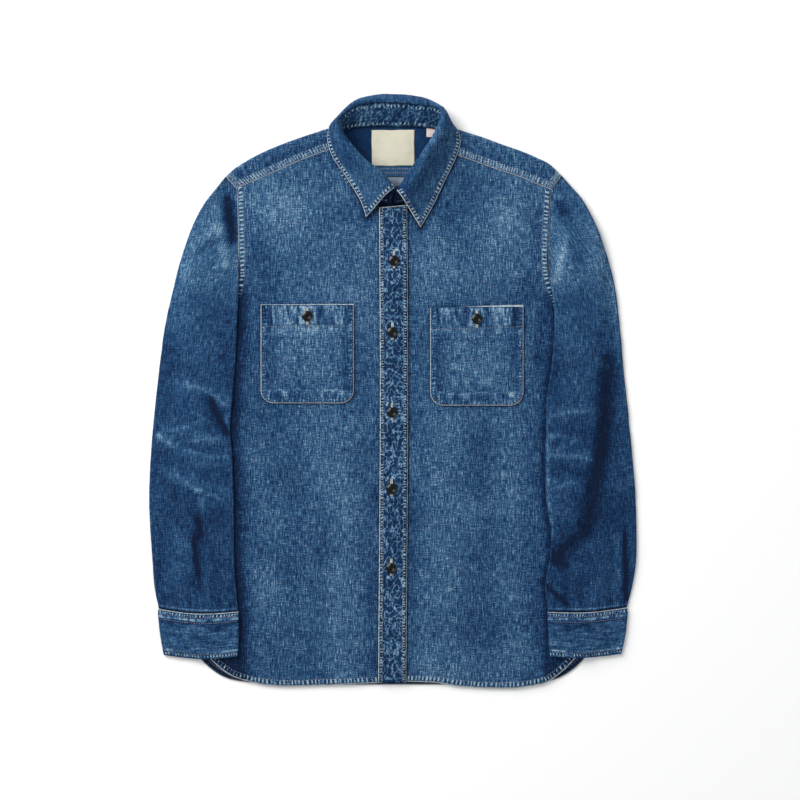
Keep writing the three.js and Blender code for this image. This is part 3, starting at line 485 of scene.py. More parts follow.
def makeDenimGroup():
    # colour, bump height and roughness of washed denim
    defaults = dict(tone=0.5, slub=1.0, cloud=1.0, roping=1.0, seamWidth=8.0, rungPitch=rungPitch, marble=0.0,
                    edgeWear=1.0, edgeWidth=1.2, foldWear=1.0, weft=0.0)
    inputs = [("grain", "vector", None), ("seam", "vector", None)]
    inputs += [(label, "value", value) for label, value in defaults.items()]
    group, get, out = newGroup("washedDenim", inputs, [("colour", "colour"), ("height", "value"),
                                                       ("roughness", "value")])
    grain = get["grain"]
    add = lambda *terms: terms[0] if len(terms) == 1 else mathNode(group, "ADD", terms[0], add(*terms[1:]))
    times = lambda a, b, **more: mathNode(group, "MULTIPLY", a, b, **more)
    less = lambda a, b: mathNode(group, "SUBTRACT", a, b)
    scaled = lambda a, b, c, **more: mathNode(group, "MULTIPLY_ADD", a, b, c, **more)
    step = lambda value, low, high: stepBetween(group, value, low, high)
    noise = lambda vector, stretch, detail, shift, rough=0.5: noiseAt(group, vector, stretch, detail, rough,
                                                                      shift)
    grainX, grainY, fadeAndShade = addNode(group, "ShaderNodeSeparateXYZ", {0: grain}).outputs
    seamAway, seamAlong, edgeAway = addNode(group, "ShaderNodeSeparateXYZ", {0: get["seam"]}).outputs
    # uneven yarns both ways: stretch, detail, strength, shift; a streak is 1 / stretch mm wide and long
    yarns = [((0.50, 0.050), 1.0, 0.36, 0), ((0.80, 0.10), 1.0, 0.86, 23), ((0.060, 0.55), 1.0, 0.26, 31),
             ((0.12, 0.82), 1.0, 0.56, 57), ((0.72, 0.72), 1.0, 0.74, 11), ((0.26, 0.016), 1.0, 0.13, 77)]
    threads = add(*[centred(group, noise(grain, stretch, detail, shift), amount)
                    for stretch, detail, amount, shift in yarns])
    threads = times(threads, get["slub"])
    patch = centred(group, noise(grain, (0.11, 0.09), 2, 5), 0.10)
    cloud = centred(group, noise(grain, (0.016, 0.013), 1, 19), 0.24)
    clouds = times(add(patch, cloud), get["cloud"])
    # lighter on worn folds, darker where shade is painted on a piece
    fold = times(fadeAndShade, get["foldWear"])
    # short light rungs between a stitched edge and its stitches, dark between them
    phase = mathNode(group, "DIVIDE", scaled(seamAway, rungSlant, seamAlong), get["rungPitch"])
    wave = mathNode(group, "SINE", times(phase, 2 * math.pi))
    past = less(seamAway, get["seamWidth"])
    band = times(step(seamAway, 1.7, 2.5), less(1.0, step(past, -0.8, 0.4)))
    patchy = step(noise(get["seam"], (0.13, 0.16), 1, 3), 0.30, 0.62)
    roping = times(times(band, scaled(patchy, 0.75, 0.35)), get["roping"])
    rungs = times(less(step(wave, -0.2, 0.7), 0.14), roping)
    # squiggled ridges where doubled cloth has shrunk on its stitches, and a little beside every seam
    wrinkle = mathNode(group, "ABSOLUTE", centred(group, noise(grain, (0.15, 0.115), 1.0, 91), 1.0))
    crest = less(1.0, times(wrinkle, 9.0, clamp=True))
    near = less(1.0, step(past, -1.0, 5.0))
    marble = times(less(crest, 0.38), scaled(near, 0.35, get["marble"]))
    # a dark line lies just inside a worn edge
    pastEdge = less(edgeAway, get["edgeWidth"])
    hollow = times(times(step(pastEdge, -0.2, 0.4), less(1.0, step(pastEdge, 0.9, 1.7))), get["edgeWear"])
    value = add(get["tone"], threads, clouds, times(fold, 0.1), times(rungs, 0.72), times(marble, 0.36),
                times(hollow, -0.16))
    value = mathNode(group, "ADD", value, 0.0, clamp=True)
    dyed = rampNode(group, value, denimRamp)
    # pale line where a folded edge has worn down to its weft
    lineStrength = scaled(noise(grain, (0.2, 0.2), 2, 43, 0.6), 1.3, 0.1, clamp=True)
    line = times(times(less(1.0, step(pastEdge, -0.5, 0.4)), lineStrength), get["edgeWear"], clamp=True)
    whitened = mixColours(group, line, dyed, (0.50, 0.555, 0.575, 1))
    # single yarns that took the dye differently, greyer and warmer than the rest
    odd = times(step(noise(grain, (0.66, 0.13), 1, 131), 0.56, 0.72), step(value, 0.22, 0.5))
    warmed = mixColours(group, times(odd, times(get["slub"], 0.40)), whitened, (0.105, 0.130, 0.215, 1))
    # wrong side of the cloth, where it shows: mostly undyed weft
    share = times(scaled(threads, 0.5, get["weft"]), step(value, 0.2, 0.6))
    share = times(share, mathNode(group, "GREATER_THAN", get["weft"], 0.01), clamp=True)
    group.links.new(mixColours(group, share, warmed, (0.29, 0.30, 0.33, 1)), out["colour"])
    # height in millimetres: diagonal twill, threads, rungs and squiggles
    diagonal = times(add(grainX, grainY), 2 * math.pi / (threadPitch * math.sqrt(2)))
    twill = times(mathNode(group, "SINE", diagonal), 0.035)
    height = add(twill, times(threads, 0.30), times(patch, 0.9), times(rungs, 0.55), times(marble, 0.5))
    group.links.new(height, out["height"])
    group.links.new(scaled(threads, -0.1, 0.88), out["roughness"])
    return group


def attributeNode(tree, name):
    return addNode(tree, "ShaderNodeAttribute", attribute_name=name).outputs["Vector"]


def newMaterial(name):
    material = bpy.data.materials.new(name)
    material.use_nodes = True
    tree = material.node_tree
    return material, tree, tree.nodes["Principled BSDF"]


def finishShader(tree, shader, colour, roughness, height=None, distance=0.001, **values):
    # distance is the bump's depth in metres
    feed(tree, shader, {"Base Color": colour, "Roughness": roughness, **values})
    if height is not None:
        bump = addNode(tree, "ShaderNodeBump", {"Strength": 1.0, "Distance": distance, "Height": height})
        tree.links.new(bump.outputs[0], shader.inputs["Normal"])


def makeShadeLineGroup():
    # painted shadow: a dark line on a front right beside what is sewn on it or lies on it
    group, get, out = newGroup("shadeLine", [("beside", "vector", None), ("colour", "colour", None)],
                               [("colour", "colour")])
    away, dark, _ = addNode(group, "ShaderNodeSeparateXYZ", {0: get["beside"]}).outputs
    line = mathNode(group, "SUBTRACT", 1.0, stepBetween(group, away, 0.7, 2.2))
    share = mathNode(group, "MULTIPLY", line, dark, clamp=True)
    group.links.new(mixColours(group, share, get["colour"], (0.0030, 0.0055, 0.013, 1)), out["colour"])
    return group


denimGroup = makeDenimGroup()
shadeLineGroup = makeShadeLineGroup()


def denimMaterial(name, sheen=0.03, layered=False, **values):
    material, tree, shader = newMaterial(name)
    values = dict(values, grain=attributeNode(tree, "grain"), seam=attributeNode(tree, "seam"))
    node = addNode(tree, "ShaderNodeGroup", values, node_tree=denimGroup)
    colour = node.outputs["colour"]
    # fronts also get the painted shadow lines beside their layers
    if layered:
        inputs = dict(beside=attributeNode(tree, "beside"), colour=colour)
        colour = addNode(tree, "ShaderNodeGroup", inputs, node_tree=shadeLineGroup).outputs["colour"]
    finishShader(tree, shader, colour, node.outputs["roughness"], node.outputs["height"], **{
        "Specular IOR Level": 0.12, "Sheen Weight": sheen, "Sheen Roughness": 0.5,
        "Sheen Tint": (0.55, 0.68, 0.85, 1)})
    return material


bodyDenim = denimMaterial("washedBodyDenim", tone=0.475, seamWidth=7.5)
frontDenim = denimMaterial("washedFrontDenim", layered=True, tone=0.475, seamWidth=7.5, roping=1.35,
                           edgeWidth=1.4)
sleeveDenim = denimMaterial("washedSleeveDenim", tone=0.49, foldWear=1.3, slub=0.85)
seamDenim = denimMaterial("ropedSeamDenim", tone=0.465, slub=0.8, roping=1.1, marble=0.4, seamWidth=5.2,
                          rungPitch=3.8, edgeWidth=0.85)
placketDenim = denimMaterial("crinkledPlacketDenim", tone=0.43, slub=0.6, roping=1.6, marble=1.8,
                             seamWidth=5.0, rungPitch=3.7, edgeWidth=1.15)
pocketDenim = denimMaterial("pocketDenim", tone=0.44, roping=0.40, marble=0.1, seamWidth=7.0, rungPitch=4.6,
                            edgeWidth=0.8)
collarDenim = denimMaterial("ropedCollarDenim", tone=0.43, slub=0.75, roping=1.6, marble=0.05, seamWidth=6.4,
                            rungPitch=4.6, edgeWidth=1.25)
standDenim = denimMaterial("crinkledStandDenim", tone=0.42, slub=0.5, roping=1.2, marble=1.3, seamWidth=6.0,
                           edgeWear=0.0)
yokeDenim = denimMaterial("yokeDenim", tone=0.46, roping=0.75, seamWidth=9.5, rungPitch=3.7, edgeWidth=0.85)
insideDenim = denimMaterial("denimInside", sheen=0.02, tone=0.20, slub=0.35, cloud=0.6, roping=0.4,
                            edgeWear=0.3)
paleInside = denimMaterial("denimWrongSide", sheen=0.02, tone=0.66, slub=0.6, cloud=0.5, roping=0.4,
                           edgeWear=0.5, weft=0.55)


def soiling(tree, scale, detail):
    # noise over the piece itself; scale is per metre
    place = tree.nodes.new("ShaderNodeTexCoord").outputs["Object"]
    size = addNode(tree, "ShaderNodeMapping", {0: place, "Scale": scale})
    settings = {"Vector": size.outputs[0], "Scale": 1.0, "Detail": detail}
    return addNode(tree, "ShaderNodeTexNoise", settings).outputs[0]


def makeThread(name, dark, light):
    material, tree, shader = newMaterial(name)
    soil = soiling(tree, (420, 420, 420), 2.0)
    finishShader(tree, shader, rampNode(tree, soil, [(0.3, dark), (0.68, light)]), 0.7, soil, 0.0002)
    return material


def makeButtonResin():
    material, tree, shader = newMaterial("blackButtonResin")
    cloudy = soiling(tree, (260, 700, 300), 3.0)
    colour = rampNode(tree, cloudy, [(0.35, (0.0015, 0.0018, 0.0025)), (0.8, (0.004, 0.0045, 0.006))])
    rough = mathNode(tree, "MULTIPLY_ADD", cloudy, 0.05, 0.05)
    finishShader(tree, shader, colour, rough, cloudy, 0.00001, **{"Specular IOR Level": 0.32})
    return material


def makeWoven(name, light, dark, rib):
    # plain woven tape for the two blank labels
    material, tree, shader = newMaterial(name)
    place = tree.nodes.new("ShaderNodeTexCoord").outputs["Object"]
    parts = addNode(tree, "ShaderNodeSeparateXYZ", {0: place}).outputs
    ribs = [mathNode(tree, "SINE", mathNode(tree, "MULTIPLY", part, 2 * math.pi / wide))
            for part, wide in zip(parts, rib)]
    weave = mathNode(tree, "MULTIPLY", mathNode(tree, "MULTIPLY", *ribs), 0.14)
    tone = mathNode(tree, "ADD", weave, centred(tree, soiling(tree, (90, 90, 90), 4.0), 0.35))
    tone = mathNode(tree, "ADD", tone, 0.6)
    finishShader(tree, shader, rampNode(tree, tone, [(0.2, dark), (0.7, light)]), 0.85, tone, 0.0001)
    return material


threadMaterial = makeThread("fadedTopstitchThread", (0.11, 0.135, 0.205), (0.42, 0.41, 0.475))
holeThread = makeThread("creamButtonholeThread", (0.42, 0.41, 0.36), (0.74, 0.71, 0.62))
buttonResin = makeButtonResin()
labelCloth = makeWoven("creamLabelTape", (0.66, 0.64, 0.52), (0.42, 0.40, 0.31), (0.0007, 0.0005))
tagCloth = makeWoven("paleTagTape", (0.74, 0.62, 0.62), (0.52, 0.42, 0.43), (0.0006, 0.0006))
print("materials ready")


# Body: two fronts, the back and the yoke

front = dict(step=2.7, overlapRight=12.0, overlapLeft=12.5, neckY=242.0, hemRow=7.6, armholeRows=(1.8, 8.2))
buttonPlaces = [
    ("front_button_1", 2, 171), ("front_button_2", 0, 78), ("front_button_3", -0.5, -26),
    ("front_button_4", -1, -125), ("front_button_5", -1.5, -228),
]
placket = dict(left=-17.5, right=19.0, topY=(240, 243.5), bottomY=(-376.5, -376), wave=1.2, turns=4.2,
               leftRow=5.2, rightRow=5.4)
pockets = [
    dict(name="pocket_right", midX=-110.5, topY=114.5, bottomY=-14.0, tilt=0.2, buttonY=99.0),
    dict(name="pocket_left", midX=109.5, topY=112.0, bottomY=-17.0, tilt=1.6, buttonY=95.5),
]
pocket = dict(width=121.0, corner=17.0, band=28.0, bandLift=0.6, bandEdge=3.0, row=1.1, bandRow=28.6,
              lowRow=17.0)


def placketEdge(y, share):
    # the placket's long edges sway a little
    v = (placket["topY"][0] - y) / (placket["topY"][0] - placket["bottomY"][0])
    return mix(placket["left"], placket["right"], share) + placket["wave"] * np.sin(v * placket["turns"])


def outsidePocket(spec, x, y):
    # distance outside a pocket with round lower corners
    middleY = (spec["topY"] + spec["bottomY"]) / 2
    corner = np.where(y < middleY, pocket["corner"], 0.5)
    qx = np.abs(x - spec["midX"]) - pocket["width"] / 2 + corner
    qy = np.abs(y - middleY) - (spec["topY"] - spec["bottomY"]) / 2 + corner
    return np.hypot(np.maximum(qx, 0), np.maximum(qy, 0)) + np.minimum(np.maximum(qx, qy), 0) - corner


def besideLayers(x, y):
    # distance from the nearest layer's edge, how dark the painted shadow line beside it is, and the softer
    # painted shade past that
    rightOf, leftOf = x - placketEdge(y, 1), placketEdge(y, 0) - x
    points = np.dstack([x, y])
    ends = [collarTable[k].reshape(4, 3)[1:, :2] for k in (0, -1)]
    found = [(np.maximum(np.maximum(rightOf, leftOf), 0), np.where(rightOf > leftOf, 0.95, 0.55), 0.8, 4.0)]
    for spec in pockets:
        # the painted shadow is darkest to the lower right of each pocket
        lowerRight = np.clip(0.45 + (x - spec["midX"]) / 110 - (y - 50) / 120, 0.15, 1)
        found.append((np.maximum(outsidePocket(spec, x, y), 0), 0.95 * lowerRight, 0.8, 4.0))
    # the leaf's edge, then its two front ends
    looks = [(0.8, 1.6, 5), (0.9, 2.6, 8), (0.9, 2.0, 6)]
    for line, (dark, depth, width) in zip([collarTable[:, 9:11], *ends], looks):
        found.append((nearLine(points, line)[0], dark + 0 * x, depth, width))
    away = np.stack([item[0] for item in found])
    nearest = away.argmin(0)[None]
    take = lambda k: np.take_along_axis(np.stack([item[k] for item in found]), nearest, 0)[0]
    soft = sum(item[2] * bell(item[0], 0, item[3]) for item in found)
    # painted shade in the middle of the neck, under the collar points
    soft = soft + 5 * bell(x, 0, 24) * ease((y - 234) / 8)
    return np.stack([take(0), take(1), 0 * x], -1), soft


armholeSteps = 12


def seamLineOf(side, first, last=None):
    # the smooth sleeve seam between two of its table rows
    line = curveSpans(side["armhole"], armholeSteps)
    return line[first * armholeSteps: None if last is None else last * armholeSteps + 1]


def sideEdge(side, armhole, hemEnd, steps):
    # down the armhole and then straight to the hem
    down = np.linspace(armhole[-1][1], hemEnd, steps)
    straight = np.column_stack([np.full(steps, side["sign"] * sideX), down])
    return np.vstack([armhole, straight[1:]])


def frontPanel(name, side, centreX):
    sign = side["sign"]
    armhole = seamLineOf(side, 2)
    drop = np.array([0, -0.39])
    armhole[0] += drop
    edge = sideEdge(side, armhole, side["hemFront"][0][1], 200)
    rows = int(700 / front["step"])
    # rows at even heights, so the two long edges match
    heights = np.linspace(edge[0, 1], edge[-1, 1], rows + 1)
    left = np.column_stack([np.interp(-heights, -edge[:, 1], edge[:, 0]), heights])
    yokeEdge = np.asarray(side["yokeFront"], float) + drop
    neck = smoothLine(side["neckFront"] + [(centreX, front["neckY"])], 60)
    columns = int(abs(sideX + 12) / front["step"])
    yokeLength = np.linalg.norm(yokeEdge[-1] - yokeEdge[0])
    share = yokeLength / (yokeLength + walked(neck)[-1])
    yokeColumns = int(columns * share)
    top = np.vstack([resample(yokeEdge, yokeColumns)[:-1], resample(neck, columns - yokeColumns)])
    hem = [p for p in side["hemFront"] if abs(p[0]) > 30] + [(centreX, -375.5)]
    bottom = resample(curveSpans(hem), columns)
    right = np.column_stack([np.full(rows + 1, centreX),
                             np.linspace(front["neckY"], bottom[-1, 1], rows + 1)])
    plan = panelPlan(top, bottom, left, right)
    x, y = plan[..., 0], plan[..., 1]
    seams = [seamLineOf(side, 2, 9), bottom, neck]
    seam, along = seamField(plan, seams, 100 + sign)
    hemAway, _ = nearLine(plan, bottom)
    sideAway = np.abs(np.abs(x) - sideX) + np.where(y < 60, 0, farAway)
    z = frontSurface(x, y)
    visible = ease((np.minimum(np.abs(x), 400) - 24) / 12)
    z = z + pressLift * (1 + rungWave(along, seam) * bell(seam, 0, 7.0) * visible)
    fold = foldsAt(frontFolds, x, y) + 0.9 * crumple(x, y, 3)
    # painted shade: the cloth beside a folded sleeve is darkened where the sleeve's shadow falls
    inner = np.asarray(side["sleeve"], float)[:, 2:4][::-1]
    toSleeve = np.abs(np.interp(y, inner[:, 1], inner[:, 0])) - np.abs(x)
    low = ease((170 - y) / 50)
    close = bell(np.maximum(toSleeve, 0), 0, side["shadeWidth"])
    beside, soft = besideLayers(x, y)
    fold = fold - soft - low * (side["shadeDepth"] * close + 1.1 * bell(toSleeve, 0, 34))
    armAway, _ = nearLine(plan, seamLineOf(side, 2, 7))
    fold = fold + 0.9 * bell(armAway, 5, 3.5)
    points = np.dstack([plan, z])
    under = points - np.array([0, 0, cloth + pressLift])
    edgeAway = np.minimum.reduce([hemAway, sideAway, armAway + 0.9])
    fields = dict(clothFields(x, y, fold, seam, along, edgeAway), beside=beside)
    piece = shellMesh(name, points, under, fields=fields, materials=(frontDenim, insideDenim))
    surface = lambda px, py: frontSurface(px, py) + pressLift
    hemLine = offsetLine(bottom, -sign * front["hemRow"])
    stitchOn("body", hemLine[np.abs(hemLine[:, 0]) > 20], surface)
    for inset in front["armholeRows"]:
        line = seamLineOf(side, 2, 7)
        stitchOn("body", offsetLine(line, -sign * inset)[6:-4], surface)
    return piece


def backPanel():
    backStep = 7.0
    sides = [sideEdge(side, seamLineOf(side, 3), side["hemBack"][0][1], 80) for side in (rightSide, leftSide)]
    rows = int(640 / backStep)
    top = smoothLine(np.asarray(backSeam, float) - np.array([0, 0.3]), 76)
    hem = rightSide["hemBack"] + leftSide["hemBack"][:-1][::-1]
    bottom = smoothLine(hem, 76)
    left, right = (resample(np.vstack([[start], edge[1:]]), rows)
                   for edge, start in zip(sides, (top[0], top[-1])))
    plan = panelPlan(top, bottom, left, right)
    points = np.dstack([plan, np.full(plan.shape[:2], cloth)])
    under = points - np.array([0, 0, cloth])
    seam, along = seamField(plan, [bottom], 131)
    inShade = -7.0 * (1 - ease((plan[..., 1] - 262) / 6))
    fields = clothFields(plan[..., 0], plan[..., 1], inShade, seam, along, seam)
    piece = shellMesh("back_panel_denim", points, under, fields=fields, materials=(paleInside, bodyDenim))
    stitchOn("body", offsetLine(bottom, 6.5), lambda px, py: px * 0 + cloth)
    return piece


yoke = dict(flapRows=34, backRows=46, arcSteps=9, insideRows=(4.8, 5.5, 10.4, 11.1), seamRows=(1.8, 5.2, 8.4))


def backYoke():
    half, neckColumns = 84, 76
    fold = np.vstack([smoothLine(rightSide["shoulder"], half)[:-1], smoothLine(backNeck, neckColumns)[:-1],
                      smoothLine(leftSide["shoulder"][::-1], half)])
    columns = len(fold)
    isNeck = (np.arange(columns) > half) & (np.arange(columns) < half + neckColumns)
    fronts = fold.copy()
    fronts[:half + 1] = resample(halved(rightSide["yokeFront"]), half)
    fronts[half + neckColumns:] = resample(halved(leftSide["yokeFront"]), half)[::-1]
    back = smoothLine(np.asarray(backSeam, float) + np.array([0, 0.3]), columns - 1)
    way = unit(fold - back)
    radius = shoulderHeight / 2
    turn = fold - way * np.where(isNeck, 0, radius)[:, None]
    outer, inner, fields = [], [], []

    def put(plan, z, innerPlan, innerZ):
        outer.append(np.column_stack([plan, z]))
        inner.append(np.column_stack([innerPlan, innerZ]))

    for i in range(yoke["backRows"] + 1):
        plan = mix(back, turn, i / yoke["backRows"])
        put(plan, np.zeros(columns), plan, np.full(columns, cloth))
    for i in range(1, yoke["arcSteps"]):
        angle = math.pi * i / yoke["arcSteps"] - math.pi / 2
        at = lambda r: (turn + way * r * math.cos(angle), np.full(columns, radius + r * math.sin(angle)))
        put(*at(radius), *at(radius - cloth))
    ends = ease(np.minimum(np.arange(columns), columns - 1 - np.arange(columns)) / 6)
    alongSeam = unevenAlong(walked(fronts), 23)
    for i in range(yoke["flapRows"] + 1):
        t = i / yoke["flapRows"]
        plan = mix(turn, fronts, t)
        x, y = plan.T
        seamTop = frontTop(x, y) + 0.6
        z = mix(shoulderHeight, seamTop, ease(t))
        swell = 1.1 * crumple(x, y, 21) * math.sin(math.pi * t) * ends
        toSeam = np.linalg.norm(fronts - plan, axis=1)
        pucker = 0.2 * rungWave(alongSeam, toSeam) * bell(toSeam, 5, 8) * ends
        z = z + np.maximum(swell + pucker, -0.45) + 0.05
        put(plan, z, plan, z - cloth)
    outer, inner = np.stack(outer), np.stack(inner)
    rows = len(outer)
    flap = rows - yoke["flapRows"] - 1
    seam = np.linalg.norm(outer[..., :2] - fronts[None], axis=2)
    seam[:flap] = farAway
    edge = seam.copy()
    along = np.broadcast_to(alongSeam, seam.shape)
    armEnd = np.minimum(np.linalg.norm(outer[..., :2] - outer[:, :1, :2], axis=2),
                        np.linalg.norm(outer[..., :2] - outer[:, -1:, :2], axis=2))
    armEnd[:flap - 8] = farAway
    closer = armEnd < seam
    alongEnd = np.broadcast_to(unevenAlong(np.arange(rows) * 1.7, 29)[:, None], seam.shape)
    seam, along = np.where(closer, armEnd, seam), np.where(closer, alongEnd, along)
    edge = np.minimum(edge, armEnd)
    foldLine = bell(np.arange(rows), flap - 3, 5)[:, None]
    raised = 0.9 * crumple(outer[..., 0], outer[..., 1], 21) + 0.5 * foldLine
    raised = raised + 1.2 * bell(edge, 5, 3.5) - 0.8 * bell(edge, 13, 3.5)
    fromBack = np.linalg.norm(outer[..., :2] - back[None], axis=2)
    onBack = np.arange(rows)[:, None] <= yoke["backRows"]
    raised = raised + np.where(onBack, 3.4 * (1 - ease((fromBack - 13) / 1.5)), 0)
    fields = clothFields(outer[..., 0], outer[..., 1], raised, seam, along, edge)
    keep = np.ones((rows - 1, columns - 1), bool)
    keep[yoke["backRows"]:, half:half + neckColumns] = False
    piece = shellMesh("back_yoke_denim", outer, inner, keep=keep, fields=fields,
                      materials=(yokeDenim, insideDenim))
    for start, stop in ((0, half + 1), (half + neckColumns, columns)):
        section = outer[flap:, start:stop]
        fromSeam = walked(section[::-1])[::-1]
        for inset in yoke["seamRows"]:
            addRow("body", alongGrid(section, fromSeam, inset)[2:-2])
        inwards = section if start == 0 else section[:, ::-1]
        fromEnd = walked(inwards, 1)
        for inset in front["armholeRows"]:
            addRow("body", alongGrid(inwards.transpose(1, 0, 2), fromEnd.T, inset)[1:-1])
    for inset in yoke["insideRows"]:
        line = back[np.abs(back[:, 0]) < 70] + np.array([0, inset])
        addRow("body", np.column_stack([line, np.full(len(line), cloth)]))
    return piece


def halved(points):
    points = np.asarray(points, float)
    middles = (points[:-1] + points[1:]) / 2
    return np.vstack([np.stack([points[:-1], middles], 1).reshape(-1, 2), points[-1:]])


def alongGrid(grid, distance, inset):
    # for each column, the point where the distance field down the rows passes inset
    out = []
    for j in range(grid.shape[1]):
        order = np.argsort(distance[:, j])
        out.append([np.interp(inset, distance[order, j], grid[order, j, k]) for k in range(3)])
    return np.array(out)


# What is sewn on the fronts

def placketTop(y):
    return flatHeight + 0.25 * puffHeight + 0.3 + doubled + 0.25 + 0.15 * np.sin(y / 9)


ring = dict(halfWidth=9.6, halfHeight=13.5, line=0.11)


def wornRing(x, y, middleX, middleY):
    # pale oval that a button has rubbed round its buttonhole
    reach = np.hypot((x - middleX) / ring["halfWidth"], (y - middleY) / ring["halfHeight"])
    return bell(reach, 1, ring["line"]) * (0.7 + 0.5 * softNoise(x, y, 6, 77))


def makePlacket():
    v = np.linspace(0, 1, 501)[:, None]
    u = np.linspace(0, 1, 41)[None, :]
    y = mix(mix(*placket["topY"], u), mix(*placket["bottomY"], u), v)
    x = mix(placket["left"], placket["right"], u) + placket["wave"] * np.sin(v * placket["turns"])
    width = placket["right"] - placket["left"]
    fromLeft, fromRight = u * width + 0 * v, (1 - u) * width + 0 * v
    nearer = np.minimum(fromLeft, fromRight)
    alongLeft = unevenAlong(-y, 61)
    alongRight = unevenAlong(-y + 3, 67)
    along = np.where(fromLeft < fromRight, alongLeft, alongRight + 900)
    pull = bell(fromLeft, 3.5, 3.5) * rungWave(alongLeft, fromLeft, 3.9)
    pull = pull + bell(fromRight, 3.5, 3.5) * rungWave(alongRight, fromRight, 3.9)
    ends = ease(np.minimum(y + 378, 245 - y) / 6)
    rounding = -0.55 * np.exp(-nearer / 0.8)
    z = placketTop(y) + 0.1 + 0.26 * pull * ends + 0.12 * crumple(x, y, 71) + rounding
    points = np.dstack([x, y, z])
    under = np.dstack([x, y, placketTop(y) - doubled])
    edgeAway = np.minimum.reduce([fromLeft, fromRight + 0.45, mix(*placket["topY"], u) - y])
    fold = 0.5 * crumple(x, y, 71) + sum(3.6 * wornRing(x, y, bx, by + 1) for _, bx, by in buttonPlaces)
    fields = clothFields(x, y, fold, nearer, along, edgeAway)
    piece = shellMesh("placket_denim", points, under, fields=fields, materials=(placketDenim, insideDenim))
    for distances, inset in [(fromLeft, placket["leftRow"]), (fromRight, placket["rightRow"])]:
        line = alongGrid(points.transpose(1, 0, 2), distances.T, inset)
        addRow("body", line[2:-2])
    return piece


def pocketTop(spec, x, y):
    band = ease((y - (spec["topY"] - pocket["band"])) / pocket["bandEdge"])
    return frontSurface(x, y) + pressLift + patchLift + cloth + pocket["bandLift"] * band


def makePocket(spec):
    corner = pocket["corner"]
    height = spec["topY"] - spec["bottomY"]
    straight = np.linspace(0, 1, 70)
    angle = np.linspace(0, math.pi / 2, 18)[1:]
    yDown = np.concatenate([spec["topY"] - (height - corner) * straight,
                            spec["topY"] - (height - corner) - corner * np.sin(angle)])
    wide = pocket["width"] / 2
    half = np.concatenate([np.full(len(straight), wide), wide - corner * (1 - np.cos(angle))])
    keep = np.concatenate([1 - straight, np.zeros(len(angle))])
    u = np.linspace(-1, 1, 95)[None, :]
    x = spec["midX"] + half[:, None] * u
    y = yDown[:, None] + spec["tilt"] * u * keep[:, None] * 1.4
    plan = np.dstack([x, y])
    outline = np.vstack([plan[:, 0], plan[-1], plan[::-1, -1]])
    edge, place = nearLine(plan, outline)
    along = unevenAlong(place, 83)
    rowY = spec["topY"] - pocket["bandRow"]
    topAway = spec["topY"] - y
    useTop = topAway < edge
    seam = np.where(useTop, topAway, edge)
    along = np.where(useTop, unevenAlong(x, 87) + 500, along)
    swell = 0.55 * np.sin(math.pi * np.clip((u + 1) / 2, 0, 1)) ** 0.5
    swell = swell * ease((spec["topY"] - pocket["band"] - y) / 30) * ease((edge - 3) / 24)
    pull = rungWave(along, seam) * bell(seam, 3, 6.0)
    surface = pocketTop(spec, x, y)
    hand = crumple(x, y, 91)
    z = surface + 0.08 + 0.17 * pull + swell + 0.35 * hand * ease(edge / 12)
    z = z - 0.4 * np.exp(-edge / 0.9) - 0.35 * np.exp(-topAway / 0.9)
    points = np.dstack([plan, z])
    under = np.dstack([plan, frontSurface(x, y) + pressLift + patchLift - 0.1])
    edgeAway = np.minimum(edge, topAway)
    # painted shade: pale in the middle of the pocket and darker beside its seams; the folded top band is
    # crinkled
    low = y - spec["bottomY"]
    inner = ease((edge - 5) / 5)
    fold = 0.8 * hand + ease((edge - 9) / 26) - 0.6 * bell(edge, 10, 4)
    # seam allowances that show through: a worn line and pale patches low down, a dark line under the band
    printed = bell(low, pocket["lowRow"], 1.1) * (1.5 + 1.6 * softNoise(x, y, 7, 97))
    patches = np.maximum(softNoise(x, y * 0.25, 4.6, 98) + 0.05, 0) * ease(low / 4)
    patches = patches * ease((pocket["lowRow"] - low) / 2)
    fold = fold + inner * (printed + 4.6 * patches - 1.1 * bell(y, rowY - 15, 1.6))
    below = ease((rowY - 1 - y) / 1.5) * ease((y - rowY + 10) / 5)
    fold = fold + 3.0 * below * np.maximum(softNoise(x, y * 0.16, 2.7, 99), -0.1)
    inTheBand = ease((y - rowY - 1) / 3) * ease((topAway - 0.5) / 2)
    pleat = softNoise(x + 0.12 * y, y * 0.16, 3.4, 95) + 0.5 * softNoise(x, y * 0.3, 6.5, 96)
    fold = fold + inTheBand * (3.2 * pleat + 2.0 * wornRing(x, y, spec["midX"], spec["buttonY"]))
    fields = clothFields(x, y, fold, seam, along, edgeAway)
    materials = (pocketDenim, insideDenim)
    piece = shellMesh(spec["name"] + "_denim", points, under, fields=fields, materials=materials)
    surfaceAt = lambda px, py: pocketTop(spec, px, py) + 0.3
    # down one side, round the bottom and up the other
    inset = pocket["row"]
    left = np.column_stack([spec["midX"] - half * (wide - inset) / wide, yDown])
    left[-len(angle):, 1] += inset * np.sin(angle)
    right = left[::-1].copy()
    right[:, 0] = 2 * spec["midX"] - right[:, 0]
    outlineRow = np.vstack([left, right])
    stitchOn("body", resample(outlineRow[outlineRow[:, 1] < spec["topY"] - 1.5], 240), surfaceAt, 0.05)
    across = np.linspace(-1, 1, 90) * (wide - 2)
    line = np.column_stack([spec["midX"] + across, rowY + spec["tilt"] * across / wide * 1.2])
    stitchOn("body", line, surfaceAt, 0.05)
    return piece


pieces = {}
pieces["front_right"] = frontPanel("front_right_denim", rightSide, front["overlapRight"])
pieces["front_left"] = frontPanel("front_left_denim", leftSide, front["overlapLeft"])
pieces["back_panel"] = backPanel()
pieces["back_yoke"] = backYoke()
pieces["placket"] = makePlacket()
for spec in pockets:
    pieces[spec["name"]] = makePocket(spec)
print("body, yoke, placket and pockets made")


# Sleeves: rings from the armhole to the cuff, each over the top, round the inner fold and back under

